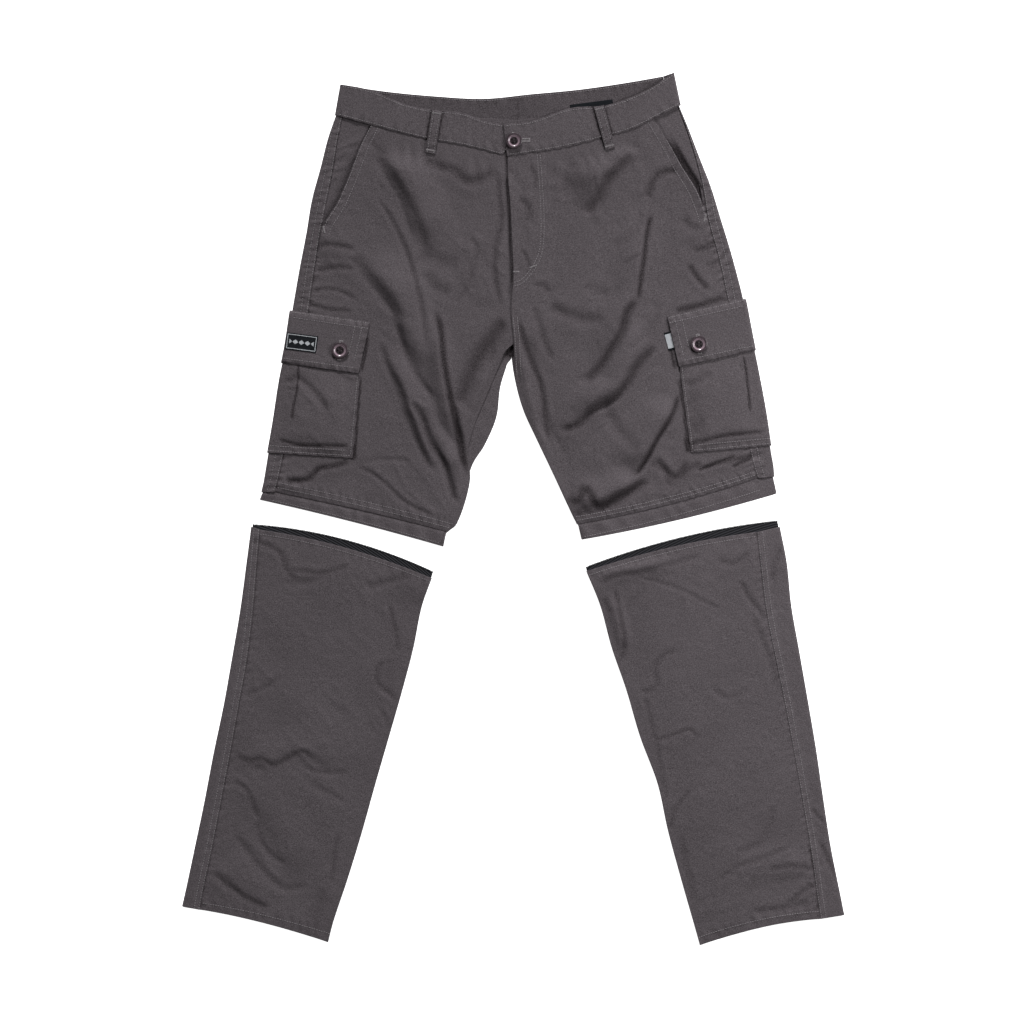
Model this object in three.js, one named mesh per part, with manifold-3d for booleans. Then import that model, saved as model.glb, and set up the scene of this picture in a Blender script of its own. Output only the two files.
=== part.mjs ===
// Convertible zip-off trousers laid flat: shorts above, the two zipped-off lower legs below them.
// Millimetres. X runs to the right, Y up along the garment, Z up off the floor.
// "Right" and "left" are the wearer's, so the right half is at negative X.
import * as THREE from 'three';
import { mergeVertices } from 'three/addons/utils/BufferGeometryUtils.js';
import Module from 'manifold-3d';

const wasm = await Module();
wasm.setup();

// Driving sizes
const CLOTH = 1.2;                        // twill, with its seam allowance pressed flat
const GAP = 0.3;                          // air between pieces that touch
const SLACK = 0.1;                        // more air, where a piece follows another over a rise
const LAYER = CLOTH + GAP;                // one more layer of cloth
const FRONT_LIFT = 3 * LAYER + GAP;       // underside of the fronts over the backs and what lies under them
const FRONT_TOP = FRONT_LIFT + CLOTH;
const FLY_UNDERLAP = 16;                  // the right front runs this far under the left one
const FACING_UNDERLAP = 12;               // a pocket's facing runs this far in under the front
const POCKET_BACK_WIDTH = 57;             // a cargo pocket's share on the back of the leg
const POCKET_PUFF = 4;                    // how far a cargo pocket stands off the leg below its flap
const FLAP_SEAM = 0.09;                   // the sewn strip along a flap's top, as a share of its height
const LOOP_WIDTH = 13;
const ZIP_TAPE = 1.2;
const LABEL = 1;
const INSEAM_SLOPE = 70;                  // a front comes down to the inseam over this width
const SEAM_MARGIN = 14;                   // a fold dies out this far from a seam
// How far the rise over a hidden edge is felt beside it: in full, and then fading out.
const SLASH_LAP = { flat: 14, fade: 34 };
const FLY_LAP = { flat: 22, fade: 36 };
const POCKET_LAP = { flat: 20, fade: 12 };
const FLAP_LAP = { flat: 16, fade: 14 };
const POCKET_MARGIN = { flat: 6, fade: 18 };
const WAIST_BUTTON = { radius: 10.5, height: 3.2, sides: 20 };
const FLAP_BUTTON = { radius: 11, height: 3.2, sides: 20 };

const TWILL = { color: 0x524e51, roughness: 0.92, metalness: 0 };
const TAPE = { color: 0x17181c, roughness: 0.7, metalness: 0 };
const WOVEN_LABEL = { color: 0x14171c, roughness: 0.75, metalness: 0 };
const BUTTON = { color: 0x46373f, roughness: 0.3, metalness: 0 };

// Sections down each half of the shorts, from the tucked top edge at the waist to the hem.
// edge: the fold at the side. seam: the side seam, on the front. slash: from the seam to the pocket opening.
// front, back: where the section ends on the front and on the back. bow: how far its middle rises.
const SHORTS_RIGHT = [
  { edge: [-229, 519], seam: [-221, 518], slash: 40, front: [-13, 469], back: [4, 506], bow: -5 },
  { edge: [-242, 482], seam: [-229, 480], slash: 30, front: [-8, 430], back: [3, 467], bow: -4 },
  { edge: [-252, 443], seam: [-235, 441], slash: 22, front: [-5, 394], back: [2, 421], bow: -3 },
  { edge: [-263, 402], seam: [-243, 402], slash: 14, front: [-3, 350], back: [1, 376], bow: -2 },
  { edge: [-270, 360], seam: [-251, 360], slash: 0, front: [-1, 304], back: [-1, 330], bow: -1 },
  { edge: [-279, 313], seam: [-259, 313], slash: 0, front: [-4, 261], back: [-3.5, 272], bow: 0 },
  { edge: [-287, 266], seam: [-266, 265], slash: 0, front: [-10, 213], back: [-7, 199], bow: 0 },
  { edge: [-295, 213], seam: [-274, 213], slash: 0, front: [-31, 159], back: [-18, 159], bow: 0 },
  { edge: [-305, 162], seam: [-282, 161], slash: 0, front: [-52, 107], back: [-23, 120], bow: 0 },
  { edge: [-312, 116], seam: [-291, 116], slash: 0, front: [-60, 74], back: [-38, 84], bow: 0 },
  { edge: [-320, 70], seam: [-299, 74], slash: 0, front: [-57, 38], back: [-55, 56], bow: 0 },
  { edge: [-326, 35], seam: [-307, 35], slash: 0, front: [-75, -20], back: [-75, -20], bow: 2 },
  { edge: [-329, 22], seam: [-311, 22], slash: 0, front: [-86, -30], back: [-86, -30], bow: 2 },
  { edge: [-331, 12], seam: [-315, 9], slash: 0, front: [-92, -49], back: [-92, -49], bow: 2 },
];
const SHORTS_LEFT = [
  { edge: [212, 531], seam: [210, 530], slash: 35, front: [-9, 466], back: [4, 506], bow: -12 },
  { edge: [229, 490], seam: [225, 489], slash: 27, front: [-8, 430], back: [3, 467], bow: -10 },
  { edge: [242, 456], seam: [236, 454], slash: 20, front: [-5, 394], back: [2, 421], bow: -8 },
  { edge: [256, 420], seam: [245, 417], slash: 8, front: [-3, 350], back: [1, 376], bow: -7 },
  { edge: [269, 378], seam: [252, 375], slash: 0, front: [-1, 304], back: [-1, 330], bow: -6 },
  { edge: [283, 332], seam: [265, 328], slash: 0, front: [-4, 261], back: [-2.5, 272], bow: -6 },
  { edge: [297, 278], seam: [277, 273], slash: 0, front: [-1, 220], back: [-3, 199], bow: -6 },
  { edge: [308, 222], seam: [287, 220], slash: 0, front: [3, 161], back: [3, 161], bow: -6 },
  { edge: [318, 173], seam: [294, 170], slash: 0, front: [13, 127], back: [13, 127], bow: -6 },
  { edge: [327, 124], seam: [300, 122], slash: 0, front: [30, 90], back: [30, 90], bow: -6 },
  { edge: [334, 77], seam: [306, 78], slash: 0, front: [51, 46], back: [51, 46], bow: -6 },
  { edge: [338, 54], seam: [313, 49], slash: 0, front: [77, -10], back: [77, -10], bow: -5 },
  { edge: [339, 42], seam: [316, 40], slash: 0, front: [82, -20], back: [82, -20], bow: -5 },
  { edge: [342, 20], seam: [321, 22], slash: 0, front: [88, -40], back: [88, -40], bow: -4 },
];
const BAND_ROW = 1.5;                     // the waistband lies over the rows above this one
const SLASH_ROW = 4;                      // a pocket's mouth ends here
const CROTCH_ROW = 6;
const HEM_TUCK_ROW = 11.4;
const HEM_ROW = 12;                       // the panels end here, and the zip cover runs on to the last row
const BAND_FLAT_Y = 500;                  // above this height the waistband no longer follows what is under it

// Sections down each lower leg: the fold at the side, the side seam and the inseam.
const LEG_RIGHT = [
  { edge: [-342, -23], seam: [-330, -27], inner: [-107, -90], bow: 8 },
  { edge: [-348, -69], seam: [-334, -73], inner: [-120, -127], bow: 6 },
  { edge: [-356, -129], seam: [-339, -133], inner: [-131, -181], bow: 3 },
  { edge: [-367, -194], seam: [-347, -198], inner: [-147, -242], bow: 3 },
  { edge: [-378, -256], seam: [-358, -260], inner: [-164, -301], bow: 3 },
  { edge: [-391, -318], seam: [-369, -322], inner: [-181, -360], bow: 3 },
  { edge: [-403, -381], seam: [-381, -385], inner: [-198, -421], bow: 4 },
  { edge: [-416, -443], seam: [-393, -447], inner: [-217, -483], bow: 4 },
  { edge: [-427, -495], seam: [-404, -499], inner: [-235, -537], bow: 4 },
  { edge: [-432, -517], seam: [-408, -521], inner: [-242, -564], bow: 4 },
];
const LEG_LEFT = [
  { edge: [346, -23], seam: [315, -30], inner: [94, -81], bow: 6 },
  { edge: [355, -69], seam: [320, -75], inner: [112, -125], bow: 6 },
  { edge: [361, -126], seam: [327, -132], inner: [127, -180], bow: 6 },
  { edge: [371, -183], seam: [338, -189], inner: [146, -235], bow: 6 },
  { edge: [382, -246], seam: [351, -252], inner: [164, -296], bow: 6 },
  { edge: [393, -311], seam: [363, -316], inner: [187, -358], bow: 6 },
  { edge: [402, -373], seam: [374, -378], inner: [200, -417], bow: 6 },
  { edge: [412, -438], seam: [385, -443], inner: [217, -480], bow: 6 },
  { edge: [425, -503], seam: [394, -508], inner: [235, -543], bow: 6 },
  { edge: [430, -528], seam: [398, -533], inner: [242, -568], bow: 6 },
];
// How far the zip tape stands out of each leg's top: at the side, in its middle and at the inseam.
const ZIP_RIGHT = { side: 3, middle: 9, inseam: 8 };
const ZIP_LEFT = { side: 8, middle: 9, inseam: 5 };
const ZIP_TUCK_ROW = 0.16;

// Stations along each front waistband, from the fly to the side: its lower and upper edge.
const WAISTBAND_RIGHT = [
  { lower: [4, 469], upper: [2, 499] },
  { lower: [-8, 469], upper: [-10, 499] },
  { lower: [-15, 461], upper: [-16, 500] },
  { lower: [-38, 466], upper: [-38, 504] },
  { lower: [-69, 473], upper: [-69, 515] },
  { lower: [-110, 480], upper: [-110, 519] },
  { lower: [-148, 489], upper: [-142, 526] },
  { lower: [-190, 500], upper: [-190, 545] },
  { lower: [-233, 512], upper: [-226, 552] },
];
const WAISTBAND_LEFT = [
  { lower: [-9, 458], upper: [-14, 500] },
  { lower: [25, 463], upper: [22, 504] },
  { lower: [62, 469], upper: [73, 521] },
  { lower: [110, 481], upper: [120, 525] },
  { lower: [157, 495], upper: [157, 537] },
  { lower: [188, 511], upper: [186, 552] },
  { lower: [217, 525], upper: [208, 568] },
];
// Stations along the waistband's back, from the right side to the left.
const WAISTBAND_BACK = [
  { lower: [-218, 508], upper: [-213, 550] },
  { lower: [-164, 500], upper: [-164, 543] },
  { lower: [-101, 495], upper: [-101, 537] },
  { lower: [-39, 492], upper: [-39, 534] },
  { lower: [23, 495], upper: [23, 540] },
  { lower: [86, 500], upper: [86, 546] },
  { lower: [148, 508], upper: [148, 555] },
  { lower: [203, 522], upper: [194, 563] },
];

// Belt loops: the middle of the top and bottom ends.
const FRONT_LOOPS = {
  right: { top: [-100, 517], bottom: [-109, 462] },
  left: { top: [110, 523], bottom: [125, 468] },
};
const BACK_LOOPS = {
  right: { top: [-120, 538], bottom: [-120, 488] },
  centre: { top: [4, 536], bottom: [4, 484] },
  left: { top: [122, 550], bottom: [122, 494] },
};

// Cargo pockets: the front edge of each row, and the height at which the row meets the side fold.
const CARGO_RIGHT = [
  { front: [-193, 235], sideY: 248 },
  { front: [-200, 176], sideY: 190 },
  { front: [-205, 120], sideY: 130 },
  { front: [-210, 66], sideY: 73 },
];
const CARGO_LEFT = [
  { front: [207, 240], sideY: 262 },
  { front: [215, 185], sideY: 205 },
  { front: [222, 133], sideY: 146 },
  { front: [230, 73], sideY: 82 },
];
const FLAP_RIGHT = [
  { front: [-187, 243], sideY: 257 },
  { front: [-202, 176], sideY: 190 },
];
const FLAP_LEFT = [
  { front: [199, 250], sideY: 272 },
  { front: [214, 185], sideY: 205 },
];

const WAIST_BUTTON_AT = [0, 478];
const FLAP_BUTTONS_AT = { right: [-226, 206], left: [240, 214] };
const FLAP_LABEL = { centre: [-276, 216], size: [41, 22], turn: -0.13 };
const FLAP_TAB = { centre: [201, 218], size: [6, 24], turn: 0.27 };
const WAIST_LABEL = { centre: [101, 525.5], size: [56, 8], turn: 0.13 };

// The largest folds. A path is a crest, its steep side lies to the right of the way it runs, and its other
// side is gentle. rise: height of the crest. steep, gentle: width of each side.
const SHORTS_FOLDS = [
  { name: 'under right pocket mouth', rise: 7, steep: 18, gentle: 50,
    path: [[-174, 472], [-151, 439], [-131, 403], [-118, 365], [-107, 337]] },
  { name: 'right thigh, from the side', rise: 6, steep: 18, gentle: 45,
    path: [[-203, 334], [-166, 294], [-148, 272], [-133, 233], [-117, 200], [-99, 161]] },
  { name: 'right thigh, outer', rise: 5, steep: 14, gentle: 26,
    path: [[-164, 213], [-143, 164], [-130, 126], [-112, 83], [-96, 48]] },
  { name: 'right thigh, lower', rise: 5, steep: 16, gentle: 18,
    path: [[-127, 165], [-112, 135], [-104, 105], [-86, 79], [-73, 51], [-70, 22]] },
  { name: 'right thigh, inner', rise: 7, steep: 14, gentle: 28,
    path: [[-73, 74], [-80, 100], [-86, 129], [-92, 161], [-97, 200], [-101, 233], [-109, 265]] },
  { name: 'right inseam', rise: 4, steep: 28, gentle: 12,
    path: [[-22, 200], [-42, 160], [-60, 122], [-70, 96], [-72, 68]] },
  { name: 'left hip', rise: 7, steep: 20, gentle: 50,
    path: [[82, 391], [98, 413], [112, 437], [131, 456], [155, 472], [174, 487]] },
  { name: 'left thigh, long', rise: 6, steep: 16, gentle: 40,
    path: [[96, 182], [113, 200], [126, 222], [134, 246], [150, 272], [156, 304], [161, 337], [166, 369],
      [174, 395]] },
  { name: 'left thigh, lower', rise: 6, steep: 18, gentle: 28,
    path: [[68, 118], [88, 137], [109, 150], [129, 161], [140, 186], [155, 218], [168, 251]] },
  { name: 'beside left cargo pocket', rise: 6, steep: 10, gentle: 45,
    path: [[148, 46], [162, 68], [174, 83], [184, 104], [196, 124], [206, 148]] },
  { name: 'left inseam', rise: 4, steep: 16, gentle: 12,
    path: [[31, 103], [27, 129], [20, 155], [13, 186], [5, 210]] },
  { name: 'over left hem', rise: 5, steep: 14, gentle: 30,
    path: [[68, 20], [86, 14], [112, 16], [135, 27], [164, 45]] },
];
const LEG_FOLDS = [
  { name: 'right leg, by the hem', rise: 5, steep: 18, gentle: 45,
    path: [[-382, -456], [-359, -478], [-333, -499], [-307, -512]] },
  { name: 'right leg, across the shin', rise: 4, steep: 24, gentle: 45,
    path: [[-363, -342], [-328, -372], [-302, -411], [-282, -456], [-263, -480]] },
  { name: 'right leg, below the knee', rise: 3, steep: 16, gentle: 35,
    path: [[-367, -313], [-320, -322], [-278, -307], [-220, -333]] },
  { name: 'left leg, under the zip', rise: 3, steep: 18, gentle: 14,
    path: [[104, -88], [130, -80], [177, -73], [216, -62]] },
  { name: 'left leg, by the inseam', rise: 3.5, steep: 14, gentle: 16,
    path: [[138, -190], [140, -168], [132, -135], [126, -108]] },
  { name: 'left leg, by the hem', rise: 4, steep: 22, gentle: 40,
    path: [[291, -480], [330, -465], [365, -460], [384, -440]] },
];

// Grid steps
const FRONT_COLUMNS = 15;
const FRONT_ROWS = 33;
const BACK_ROWS = 24;
const BACK_SHARES = [0.12, 0.24, 0.34, 0.48, 0.72, 1];
const LEG_FRONT_ROWS = 20;
const LEG_FRONT_COLUMNS = 9;
const LEG_BACK_ROWS = 16;
const FOLD_STEPS = 4;
const BAND_STEPS = 16;
const TUBE_STEPS = 12;
const EDGE_SAMPLES = 130;
const SLASH_SAMPLES = 12;

const lerp = (a, b, t) => a + (b - a) * t;
const mix = (p, q, t) => [lerp(p[0], q[0], t), lerp(p[1], q[1], t)];
const distance = (p, q) => Math.hypot(q[0] - p[0], q[1] - p[1]);
const smooth = (t) => { const c = Math.min(1, Math.max(0, t)); return c * c * (3 - 2 * c); };
const spread = (from, to, steps) => Array.from({ length: steps + 1 }, (_, i) => lerp(from, to, i / steps));
const toward = (p, q, length) => mix(p, q, length / distance(p, q));

// A smooth line through one column of a table, read at a row that need not be whole.
function columnReader(rows, column) {
  const isPoint = Array.isArray(rows[0][column]);
  const points = rows.map((row, i) => (isPoint ? new THREE.Vector3(...row[column], 0)
    : new THREE.Vector3(i, row[column], 0)));
  const line = new THREE.CatmullRomCurve3(points, false, 'centripetal');
  return (row) => {
    const p = line.getPoint(row / (rows.length - 1));
    return isPoint ? [p.x, p.y] : p.y;
  };
}
function tableReader(rows) {
  const readers = Object.keys(rows[0]).map((column) => [column, columnReader(rows, column)]);
  return (row) => Object.fromEntries(readers.map(([column, read]) => [column, read(row)]));
}

// A closed wall between two grids of points with the same rows and columns.
// A looped grid joins its last column to its first.
function wall(outer, inner, looped = false) {
  const rows = outer.length;
  const columns = outer[0].length;
  const positions = [outer, inner].flat(2).flat();
  const index = [];
  const at = (layer, row, column) => (layer * rows + row) * columns + (column % columns);
  const quad = (a, b, c, d) => index.push(a, b, c, a, c, d);
  const lastColumn = looped ? columns : columns - 1;
  for (let row = 0; row < rows - 1; row += 1) {
    for (let column = 0; column < lastColumn; column += 1) {
      quad(at(0, row, column), at(0, row + 1, column), at(0, row + 1, column + 1), at(0, row, column + 1));
      quad(at(1, row, column), at(1, row, column + 1), at(1, row + 1, column + 1), at(1, row + 1, column));
    }
  }
  for (let column = 0; column < lastColumn; column += 1) {
    quad(at(0, 0, column), at(0, 0, column + 1), at(1, 0, column + 1), at(1, 0, column));
    const end = rows - 1;
    quad(at(0, end, column), at(1, end, column), at(1, end, column + 1), at(0, end, column + 1));
  }
  for (let row = 0; row < rows - 1 && !looped; row += 1) {
    const end = columns - 1;
    quad(at(0, row, 0), at(1, row, 0), at(1, row + 1, 0), at(0, row + 1, 0));
    quad(at(0, row, end), at(0, row + 1, end), at(1, row + 1, end), at(1, row, end));
  }
  return solidGeometry(positions, index);
}

// Turns the faces outwards whichever way the grid ran.
function solidGeometry(positions, index) {
  const corner = (i) => new THREE.Vector3().fromArray(positions, index[i] * 3);
  let volume = 0;
  for (let i = 0; i < index.length; i += 3) {
    volume += corner(i).dot(corner(i + 1).cross(corner(i + 2)));
  }
  if (volume < 0) {
    for (let i = 0; i < index.length; i += 3) [index[i], index[i + 1]] = [index[i + 1], index[i]];
  }
  const geometry = new THREE.BufferGeometry();
  geometry.setAttribute('position', new THREE.Float32BufferAttribute(positions, 3));
  geometry.setIndex(index);
  geometry.computeVertexNormals();
  return geometry;
}

// Folds
function preparedFold(fold) {
  const points = fold.path.map((p) => new THREE.Vector3(...p, 0));
  const line = new THREE.CatmullRomCurve3(points).getPoints(4 * points.length);
  return { ...fold, line: line.map((p) => [p.x, p.y]) };
}

// Nearest place on a line: how far away, on which hand, and how far along.
function nearestOn(line, x, y) {
  let best = { away: Infinity, hand: 1, along: 0 };
  for (let i = 0; i < line.length - 1; i += 1) {
    const [ax, ay] = line[i];
    const dx = line[i + 1][0] - ax;
    const dy = line[i + 1][1] - ay;
    const t = Math.min(1, Math.max(0, ((x - ax) * dx + (y - ay) * dy) / (dx * dx + dy * dy)));
    const away = Math.hypot(x - ax - t * dx, y - ay - t * dy);
    if (away < best.away) {
      best = { away, hand: Math.sign(dx * (y - ay) - dy * (x - ax)) || 1, along: (i + t) / (line.length - 1) };
    }
  }
  return best;
}

function foldHeight(folds, x, y) {
  let height = 0;
  for (const fold of folds) {
    const { away, hand, along } = nearestOn(fold.line, x, y);
    const width = hand > 0 ? fold.gentle : fold.steep;
    const taper = smooth(along / 0.3) * smooth((1 - along) / 0.3);
    height = Math.max(height, fold.rise * smooth(1 - away / width) * taper);
  }
  return height;
}

// How far a point lies outside an outline of four corners.
function outsideOf(corners, x, y) {
  const centre = mix(mix(corners[0], corners[2], 0.5), mix(corners[1], corners[3], 0.5), 0.5);
  return Math.max(...corners.map((p, i) => {
    const q = corners[(i + 1) % corners.length];
    const normal = [(q[1] - p[1]) / distance(p, q), (p[0] - q[0]) / distance(p, q)];
    const side = Math.sign((p[0] - centre[0]) * normal[0] + (p[1] - centre[1]) * normal[1]);
    return side * ((x - p[0]) * normal[0] + (y - p[1]) * normal[1]);
  }));
}

// 1 along a line or inside an outline and as far as flat beside it, fading to 0.
const fading = (away, { flat, fade }) => smooth(1 - (away - flat) / fade);
const besideLine = (line, lap, x, y) => fading(nearestOn(line, x, y).away, lap);
const besideOutline = (corners, lap, x, y) => fading(outsideOf(corners, x, y), lap);

// One half of the shorts: its tables, its outlines and the height of its front at any point.
function half(name, sections, cargoRows, flapRows) {
  const read = tableReader(sections);
  const edges = spread(0, sections.length - 1, EDGE_SAMPLES).map((row) => read(row).edge);
  const edgeAtY = (y) => edges.reduce((a, b) => (Math.abs(b[1] - y) < Math.abs(a[1] - y) ? b : a));
  const backCorners = (rows) => [rows[0], rows.at(-1)].map((row) => {
    const side = edgeAtY(row.sideY);
    return [side, toward(side, row.front, POCKET_BACK_WIDTH)];
  });
  const outline = ([[a, b], [c, d]]) => [a, b, d, c];
  const slash = spread(0, SLASH_ROW, SLASH_SAMPLES).map((row) => {
    const section = read(row);
    return toward(section.seam, section.front, Math.max(0, section.slash));
  });
  const cargoSides = [cargoRows[0], cargoRows.at(-1)].map((row) => [row.front, edgeAtY(row.sideY)]);
  return {
    name, read, edgeAtY, slash, cargoRows, flapRows,
    cargoFront: outline(cargoSides),
    cargoBack: outline(backCorners(cargoRows)),
    flapBack: outline(backCorners(flapRows)),
  };
}
const RIGHT = half('right', SHORTS_RIGHT, CARGO_RIGHT, FLAP_RIGHT);
const LEFT = half('left', SHORTS_LEFT, CARGO_LEFT, FLAP_LEFT);
const HALVES = [RIGHT, LEFT];
const FLY = [WAISTBAND_LEFT[0].upper, ...SHORTS_LEFT.slice(0, CROTCH_ROW + 1).map((row) => row.front)];
const FOLDS = SHORTS_FOLDS.map(preparedFold);
const LOWER_FOLDS = LEG_FOLDS.map(preparedFold);

// The fronts are raised where they lap over a pocket's facing or over the other front.
function lapRaise(side, x, y) {
  const overFacing = besideLine(side.slash, SLASH_LAP, x, y);
  const overFly = side === LEFT ? besideLine(FLY, FLY_LAP, x, y) : 0;
  return (LAYER + SLACK) * Math.max(overFacing, overFly);
}

// Underside of a front at its inner end: down on the back along the inseam, up over the other front above the
// crotch and over the zip cover at the hem.
const inseamUnder = (row) => lerp(LAYER, FRONT_LIFT,
  Math.max(smooth((CROTCH_ROW + 0.8 - row) / 1.2), smooth((row - HEM_ROW + 2.4) / 1.4)));

// Underside of a front at share u of the section from the side seam to its inner end.
function frontUnder(side, row, u, x, y) {
  const section = side.read(row);
  const width = distance(section.seam, section.front);
  const fromInseam = (1 - u) * width;
  const base = lerp(inseamUnder(row), FRONT_LIFT, smooth(fromInseam / INSEAM_SLOPE));
  const clear = smooth(fromInseam / SEAM_MARGIN) * smooth((row - BAND_ROW + 0.9) / 0.9)
    * smooth((HEM_ROW - row) / 0.8) * (1 - besideOutline(side.cargoFront, POCKET_MARGIN, x, y));
  return base + lapRaise(side, x, y) + clear * foldHeight(FOLDS, x, y);
}

// Top of the fronts near the waist, the pockets or the side, where they are flat but for the laps,
// and top of the waistband on them.
const flatTop = (side, x, y) => FRONT_TOP + lapRaise(side, x, y);
const bandTop = (side, x, y) => flatTop(side, x, Math.min(y, BAND_FLAT_Y)) + SLACK + LAYER;

// Underside of a back: lifted over the waistband and over what a cargo pocket has on the back.
function backUnder(side, row, x, y) {
  const overBand = 2 * LAYER * smooth((BAND_ROW - row) / 0.9);
  const overCargo = LAYER * besideOutline(side.cargoBack, POCKET_LAP, x, y);
  const overFlap = LAYER * besideOutline(side.flapBack, POCKET_LAP, x, y);
  return Math.max(overBand, overCargo + overFlap);
}

// A point at share u between two ends of a section, along its bow.
function place(section, start, end, u) {
  const [x, y] = mix(start, end, u);
  return [x, y + 4 * u * (1 - u) * section.bow];
}

function frontPanel(side) {
  const outer = [];
  const inner = [];
  for (const row of spread(0, HEM_ROW, FRONT_ROWS)) {
    const section = side.read(row);
    const underlap = side === RIGHT ? FLY_UNDERLAP * smooth((CROTCH_ROW - 0.3 - row) / 0.7) : 0;
    const width = distance(section.seam, section.front);
    const from = (Math.max(0, section.slash) + GAP / 2) / width;
    const to = 1 + (underlap - GAP / 2) / width;
    const points = spread(from, to, FRONT_COLUMNS).map((u) => {
      const [x, y] = place(section, section.seam, section.front, u);
      return [x, y, frontUnder(side, row, Math.min(u, 1), x, y)];
    });
    inner.push(points);
    outer.push(points.map(([x, y, z]) => [x, y, z + CLOTH]));
  }
  return wall(outer, inner);
}

// The facing seen between a slash pocket's mouth and the side seam; it runs in under the front.
function pocketFacing(side) {
  const outer = [];
  const inner = [];
  for (const row of spread(0, SLASH_ROW, 8)) {
    const section = side.read(row);
    const width = distance(section.seam, section.front);
    const reach = Math.max(0, section.slash) + FACING_UNDERLAP;
    const points = spread(GAP / 2 / width, reach / width, 3).map((u) => {
      const [x, y] = place(section, section.seam, section.front, u);
      return [x, y, FRONT_LIFT];
    });
    inner.push(points);
    outer.push(points.map(([x, y, z]) => [x, y, z + CLOTH]));
  }
  return wall(outer, inner);
}

// One row of a piece that runs over the top layer to a fold at the side and back along the floor side.
// start, edge and end are in plan. topAt and bottomAt give its outermost height above and below.
function wrappedRow({ start, edge, end, topAt, bottomAt, topSteps, bottomShares }) {
  const outer = [];
  const inner = [];
  const top = topAt(...edge);
  const bottom = bottomAt(...edge);
  const radius = (top - bottom) / 2;
  const turnTop = toward(edge, start, radius);
  const turnBottom = toward(edge, end, radius);
  for (const p of spread(0, 1, topSteps).slice(0, -1).map((t) => mix(start, turnTop, t))) {
    outer.push([...p, topAt(...p)]);
    inner.push([...p, topAt(...p) - CLOTH]);
  }
  for (const angle of spread(Math.PI / 2, -Math.PI / 2, FOLD_STEPS)) {
    const turnCentre = angle > 0 ? turnTop : turnBottom;
    const ring = (r) => toward(turnCentre, edge, r * Math.cos(angle) + 1e-6);
    const heightAt = (r) => (top + bottom) / 2 + r * Math.sin(angle);
    outer.push([...ring(radius), heightAt(radius)]);
    inner.push([...ring(radius - CLOTH), heightAt(radius - CLOTH)]);
  }
  for (const p of bottomShares.map((t) => mix(turnBottom, end, t))) {
    outer.push([...p, bottomAt(...p)]);
    inner.push([...p, bottomAt(...p) + CLOTH]);
  }
  return { outer, inner };
}

function wrappedWall(rows) {
  const made = rows.map(wrappedRow);
  return wall(made.map((row) => row.outer), made.map((row) => row.inner));
}

function backPanel(side) {
  const rows = spread(0, HEM_ROW, BACK_ROWS).map((row) => {
    const section = side.read(row);
    const seamTop = frontUnder(side, row, 0, ...section.seam) - lapRaise(side, ...section.seam) + CLOTH;
    return {
      start: toward(section.seam, section.edge, GAP / 2),
      edge: section.edge,
      end: toward(section.back, section.edge, GAP / 2),
      topAt: (x, y) => {
        const inward = distance(section.edge, [x, y]) / distance(section.edge, section.seam);
        return lerp(FRONT_TOP, seamTop, smooth(inward));
      },
      bottomAt: (x, y) => backUnder(side, row, x, y),
      topSteps: 2,
      bottomShares: BACK_SHARES,
    };
  });
  return wrappedWall(rows);
}

// The front waistbands lie over the fronts and turn round the sides to meet the back one.
function frontWaistband(side, stations, backEnd) {
  const read = tableReader(stations);
  const columns = spread(0, stations.length - 1, BAND_STEPS).map(read);
  const topAt = (x, y) => bandTop(side, x, y);
  const rows = [0, 0.5, 1].map((t) => {
    const line = columns.map((column) => mix(column.lower, column.upper, t));
    const run = line.slice(0, -3);
    const edge = line.at(-1);
    const end = toward(mix(backEnd.lower, backEnd.upper, t), edge, GAP);
    const made = wrappedRow({
      start: line.at(-3), edge, end, topAt, bottomAt: () => LAYER, topSteps: 2, bottomShares: [0.5, 1],
    });
    return {
      outer: [...run.map((p) => [...p, topAt(...p)]), ...made.outer],
      inner: [...run.map((p) => [...p, topAt(...p) - CLOTH]), ...made.inner],
    };
  });
  return wall(rows.map((row) => row.outer), rows.map((row) => row.inner));
}

function backWaistband() {
  const read = tableReader(WAISTBAND_BACK);
  const stations = spread(0, WAISTBAND_BACK.length - 1, 14).map(read);
  const rowAt = (t, z) => stations.map((station) => [...mix(station.lower, station.upper, t), z]);
  const heights = [0, 0.5, 1];
  return wall(heights.map((t) => rowAt(t, LAYER + CLOTH)), heights.map((t) => rowAt(t, LAYER)));
}

// A strip of constant width whose underside follows underAt along its middle line.
function loopStrip({ top, bottom }, underAt) {
  const across = [(bottom[1] - top[1]) / distance(top, bottom), (top[0] - bottom[0]) / distance(top, bottom)];
  const rows = [0, 0.2, 0.45, 0.76, 0.92, 1].map((t) => {
    const middle = mix(top, bottom, t);
    return [-0.5, 0, 0.5].map((share) => {
      const x = middle[0] + across[0] * share * LOOP_WIDTH;
      const y = middle[1] + across[1] * share * LOOP_WIDTH;
      return [x, y, underAt(x, y, t)];
    });
  });
  return wall(rows.map((row) => row.map(([x, y, z]) => [x, y, z + CLOTH])), rows);
}
const frontLoop = (side) => loopStrip(FRONT_LOOPS[side.name], (x, y, t) => {
  const onBand = bandTop(side, x, y) + GAP + SLACK;
  const onFront = flatTop(side, x, y) + 2 * GAP;
  return lerp(onBand, onFront, smooth((t - 0.78) / 0.14));
});
const backLoop = (loop) => loopStrip(loop, () => 0);

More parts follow.
